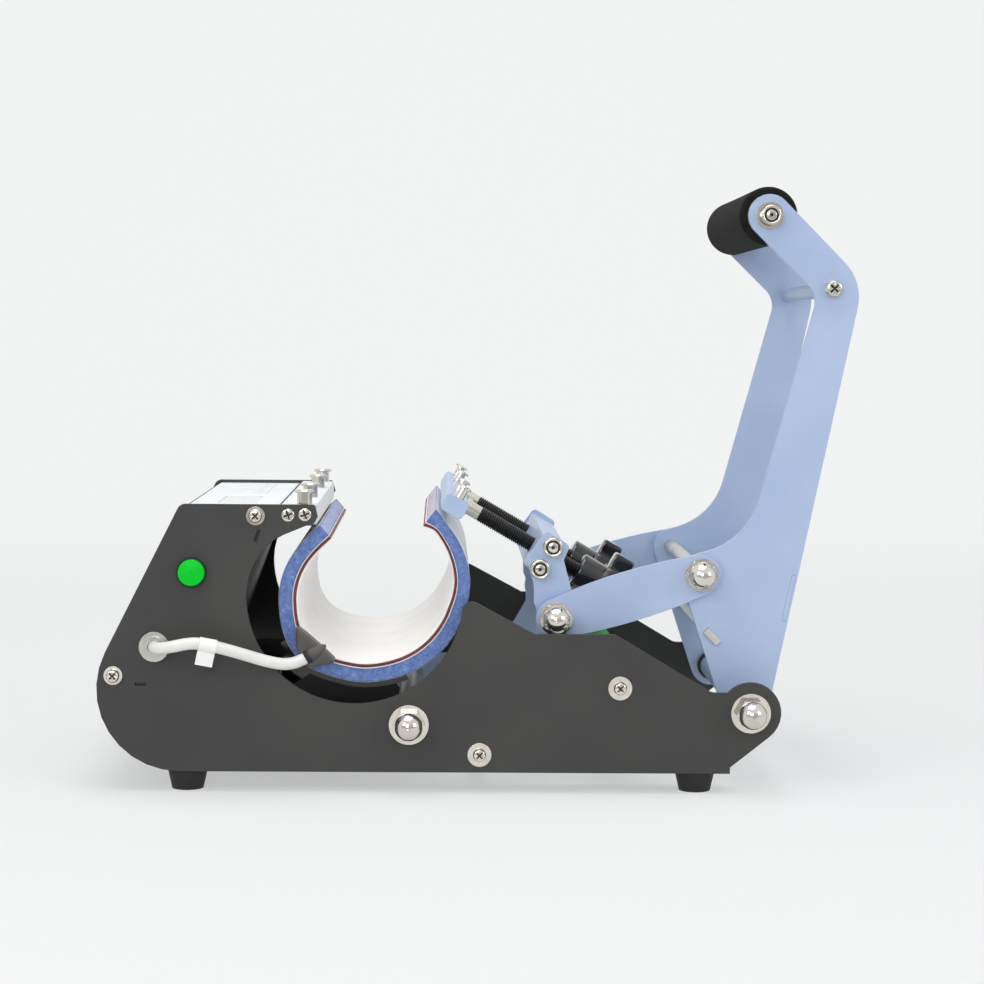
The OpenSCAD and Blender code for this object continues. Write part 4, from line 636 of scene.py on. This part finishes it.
# dark ring between the lever's near hub and the side plate
HUB = (164.126, 49.498)
ring = turned("hub_seal_ring", HUB, [84.5, 85, 89.7, 90.2, 90.2, 84.5], [9.1, 9.6, 9.6, 9.1, 8.05, 8.05],
              RUBBER_AND_SHADE)
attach(ring, "lever")


# Foam grip

def foam_grip():
    """Foam tube on the grip bar: a profile of flat face, rounded rim and slightly bowed side, turned."""
    centre, half, radius, bore, rim = (174.236, 349.318), 90.65, 17.75, 10.1, 2.2
    t = np.linspace(0, math.pi / 2, 7)
    rim_y, rim_r = half - rim + rim * np.cos(t), radius - rim + rim * np.sin(t)
    body_y = np.linspace(half - rim, -half + rim, 60)[1:-1]
    body_r = radius - 0.15 * (1 - (body_y / half) ** 2) ** 2
    y = np.concatenate([[half - 0.4], rim_y, body_y, -rim_y[::-1], [-half + 0.4]])
    r = np.concatenate([[bore], rim_r, body_r, rim_r[::-1], [bore]])[:, None]
    a = circle(72)
    pts = grid_of(centre[0] + r * np.cos(a), y[:, None], centre[1] + r * np.sin(a))
    return crisp(piece("foam_grip_tube", pts, FOAM, close_rows=True, caps=False), 50)


grip = foam_grip()
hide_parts("grip_foam")
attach(grip, "lever")


# Threaded rods and star knobs, round the rods' own direction

ROD_FALL = 30 * DEG
ROD = np.array([math.cos(ROD_FALL), 0, -math.sin(ROD_FALL)])
ACROSS = np.array([math.sin(ROD_FALL), 0, math.cos(ROD_FALL)])
DEPTH = np.array([0, 1.0, 0])
BLOCK = np.array([40.9254, 0, 140.417])    # middle of the cross block that the rods run through
ROD_Y = 50


def about_rod(y, s, r, a):
    """Points at s along a rod's axis, radius r and angle a, for the rod at depth y."""
    s, r, a = np.broadcast_arrays(s, r, a)
    return (BLOCK + y * DEPTH + s[..., None] * ROD
            + (r * np.cos(a))[..., None] * DEPTH + (r * np.sin(a))[..., None] * ACROSS)


def threaded_rod(name, y):
    """M10 rod: a plain journal, a chamfer, then a thread whose radius follows a helix of 1.5 mm pitch."""
    pitch, crest, root, journal, chamfer = 1.5, 4.98, 4.1, 3.48, 4.2
    s = np.concatenate([[-67.4, -46.25, -46.2], np.arange(-45.9, 26, pitch / 8), [28, 46.5]])[:, None]
    a = circle(36)
    turn = (s / pitch - a / (2 * math.pi)) % 1
    tooth = np.clip((0.5 - np.abs(turn - 0.5)) * 2 * 1.35 - 0.12, 0, 1)
    r = root + (crest - root) * tooth
    r[:2] = journal
    r[2] = np.minimum(r[2], chamfer)
    r[-2:] = crest
    return crisp(piece(name, about_rod(y, s, r, a), BLACK_OXIDE_AND_SHADE), 60)


def star_knob(name, y):
    """Moulded star knob: a plain round hub and a head of five broad lobes.

    Round the head the radius is the least of a flat lobe end, lobe_r / cos u, and the lobe's parallel side,
    half_w / sin u, at angle u from the lobe's middle, but never less than the core's; powers blend them.
    The hub starts s1 along the rod, the head s2, and its far face is at s3.
    """
    lobe_r, half_w, core_r, lobe_turn = 22.7, 6.4, 13.6, 2 * math.pi / 5
    s1, s2, s3 = 23.95, 39.95, 53.4
    # profile rows: place along the axis, hub radius, share of the star, and its drawing in at the rims
    rows = [(s1, 5.1, 0, 0), (s1, 10.9, 0, 0), (s1 + 0.3, 11.6, 0, 0), (s1 + 1.0, 12.0, 0, 0)]
    rows += [(s, 12.0, 0, 0) for s in np.linspace(s1 + 2, s2 - 0.6, 6)]
    rows += [(s2 - 0.3, 12.1, 0, 0), (s2, 12.5, 0.0, 0), (s2, 12.5, 1, 1.5), (s2 + 0.2, 12, 1, 0.7),
             (s2 + 0.7, 12, 1, 0.2), (s2 + 1.4, 12, 1, 0)]
    rows += [(s, 12, 1, 0) for s in np.linspace(s2 + 3, s3 - 3, 5)]
    rows += [(s3 - 1.5, 12, 1, 0), (s3 - 0.7, 12, 1, 0.25), (s3 - 0.15, 12, 1, 0.8), (s3, 12, 1, 1.7),
             (s3, 10.6, 0, 0), (s3 - 0.3, 9.8, 0, 0), (s3 - 1.2, 9.4, 0, 0), (s3 - 1.3, 0.4, 0, 0)]
    s, hub, star, draw = (np.array(c)[:, None] for c in zip(*rows))
    a = circle(280)[None, :]
    u = np.abs((a - math.pi / 2 + lobe_turn / 2) % lobe_turn - lobe_turn / 2)
    lobe = ((np.cos(u) / lobe_r) ** 16 + (np.sin(u) / half_w) ** 16) ** (-1 / 16)
    head = (lobe ** 12 + core_r ** 12) ** (1 / 12)
    r = np.where(star > 0, head - draw, hub)
    return crisp(piece(name, about_rod(y, s, r, a), KNOB), 50)


for where, y in (("near", -ROD_Y), ("far", ROD_Y)):
    rod = threaded_rod("rod_thread_" + where, y)
    knob = star_knob("star_grip_" + where, y)
    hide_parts("threaded_rod_" + where)
    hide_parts("star_knob_" + where)
    for item in (rod, knob):
        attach(item, "knob_" + where)


# Studio, in metres: a floor that sweeps up behind the object, and soft lamps

BACKDROP = "#f5f6f6"
PICTURE_RAYS = ("Is Camera Ray", "Is Glossy Ray", "Is Transmission Ray")
FLOOR_FROM, BEND_AT, BEND_R, WALL_TOP, HALF_WIDTH = -0.9, 1.6, 0.9, 4.2, 4.0


def seen_directly(tree, kinds):
    """1 on rays of any of the kinds, such as Is Camera Ray, and 0 on the rest."""
    seen = add(tree, "ShaderNodeLightPath", {}, kinds[0])
    for kind in kinds[1:]:
        ray = add(tree, "ShaderNodeLightPath", {}, kind)
        seen = add(tree, "ShaderNodeMath", {"operation": "MAXIMUM", 0: seen, 1: ray})
    return seen


def backdrop_paper():
    """Matt white paper: its own colour under the lamps, mixed with an even pale tone for the camera."""
    m, tree, shader, where = bare_skin("backdrop_paper")
    fibre = add(tree, "ShaderNodeTexNoise", {"Vector": where, "Scale": 1 / (3 * MM), "Detail": 2})
    colour = add(tree, "ShaderNodeValToRGB", {"Fac": fibre, "stops": [(0.3, "#e0e0e0"), (0.7, "#e4e4e4")]})
    tree.links.new(colour, shader.inputs["Base Color"])
    shader.inputs["Roughness"].default_value = 0.85
    glow = add(tree, "ShaderNodeEmission", {"Color": paint(BACKDROP), "Strength": 1.0})
    seen = seen_directly(tree, PICTURE_RAYS)
    # the glow grows from half at the object's feet to nearly all on the far wall
    depth = add(tree, "ShaderNodeSeparateXYZ", {"Vector": where}, "Y")
    grow = add(tree, "ShaderNodeMapRange", {"Value": depth, "From Min": 0.2, "From Max": 1.8,
                                            "To Min": 0.5, "To Max": 0.92})
    share = add(tree, "ShaderNodeMath", {"operation": "MULTIPLY", 0: seen, 1: grow})
    mix = add(tree, "ShaderNodeMixShader", {0: share, 1: shader.outputs[0], 2: glow})
    tree.links.new(mix, tree.nodes["Material Output"].inputs["Surface"])
    return m


def sweep():
    """Paper sweep: flat floor, a quarter round of 0.9 m radius, then a wall."""
    flat = np.stack([np.linspace(FLOOR_FROM, BEND_AT, 30), np.zeros(30)], -1)
    a = np.linspace(0, math.pi / 2, 24)[1:]
    bend = np.stack([BEND_AT + BEND_R * np.sin(a), BEND_R - BEND_R * np.cos(a)], -1)
    wall = np.stack([np.full(10, BEND_AT + BEND_R), np.linspace(BEND_R, WALL_TOP, 11)[1:]], -1)
    line = np.vstack([flat, bend, wall]) / MM
    x = np.linspace(-HALF_WIDTH, HALF_WIDTH, 5) / MM
    pts = grid_of(x, line[:, :1], line[:, 1:])
    return piece("paper_sweep", pts, backdrop_paper(), close_columns=False, caps=False)


sweep()


def studio_air():
    """World: soft fill light for the object, and one pale tone where it is seen, mirrored or shines through.

    Mirrored rays see it dim low in front, where the camera's own room is dark.
    """
    world = bpy.data.worlds.new("studio_air")
    world.use_nodes = True
    air = world.node_tree
    way = add(air, "ShaderNodeTexCoord", {}, "Generated")
    ahead_y = add(air, "ShaderNodeSeparateXYZ", {"Vector": way}, "Y")
    height = add(air, "ShaderNodeSeparateXYZ", {"Vector": way}, "Z")
    front = add(air, "ShaderNodeMapRange", {"Value": ahead_y, "From Min": -0.3, "From Max": -0.8,
                                            "To Min": 0.0, "To Max": 1.0})
    low_down = add(air, "ShaderNodeMapRange", {"Value": height, "From Min": 0.6, "From Max": 0.2,
                                               "To Min": 0.0, "To Max": 0.42})
    mirrored = add(air, "ShaderNodeLightPath", {}, "Is Glossy Ray")
    room = add(air, "ShaderNodeMath", {"operation": "MULTIPLY", 0: front, 1: low_down})
    dim = add(air, "ShaderNodeMath", {"operation": "MULTIPLY", 0: room, 1: mirrored})
    power = add(air, "ShaderNodeMath", {"operation": "SUBTRACT", 0: 1.0, 1: dim})
    seen_air = add(air, "ShaderNodeBackground", {"Color": paint(BACKDROP), "Strength": power})
    fill = air.nodes["Background"]
    fill.inputs["Color"].default_value = paint("#f4f6f8")
    fill.inputs["Strength"].default_value = 0.6
    mix = add(air, "ShaderNodeMixShader", {0: seen_directly(air, PICTURE_RAYS), 1: fill.outputs[0],
                                           2: seen_air})
    air.links.new(mix, air.nodes["World Output"].inputs["Surface"])
    return world


bpy.context.scene.world = studio_air()


def lamp(name, at, aim, size, power):
    """Square area lamp at a point, facing another, of a side in metres and a power in watts."""
    data = bpy.data.lights.new(name, "AREA")
    data.shape, data.size, data.energy = "SQUARE", size, power
    obj = bpy.data.objects.new(name, data)
    bpy.context.scene.collection.objects.link(obj)
    obj.location = at
    obj.rotation_mode = "QUATERNION"
    obj.rotation_quaternion = (Vector(aim) - Vector(at)).to_track_quat("-Z", "Y")


lamp("top_softbox", (-0.1, -0.2, 1.9), (0, 0, 0.1), 1.4, 18)
lamp("left_softbox", (-1.4, -1.6, 1.2), (0, 0, 0.15), 0.7, 8)
lamp("front_softbox", (-0.45, -2.3, 0.85), (0, 0, 0.12), 0.9, 9)
lamp("right_softbox", (1.7, -1.3, 0.9), (0, 0, 0.15), 0.8, 8)
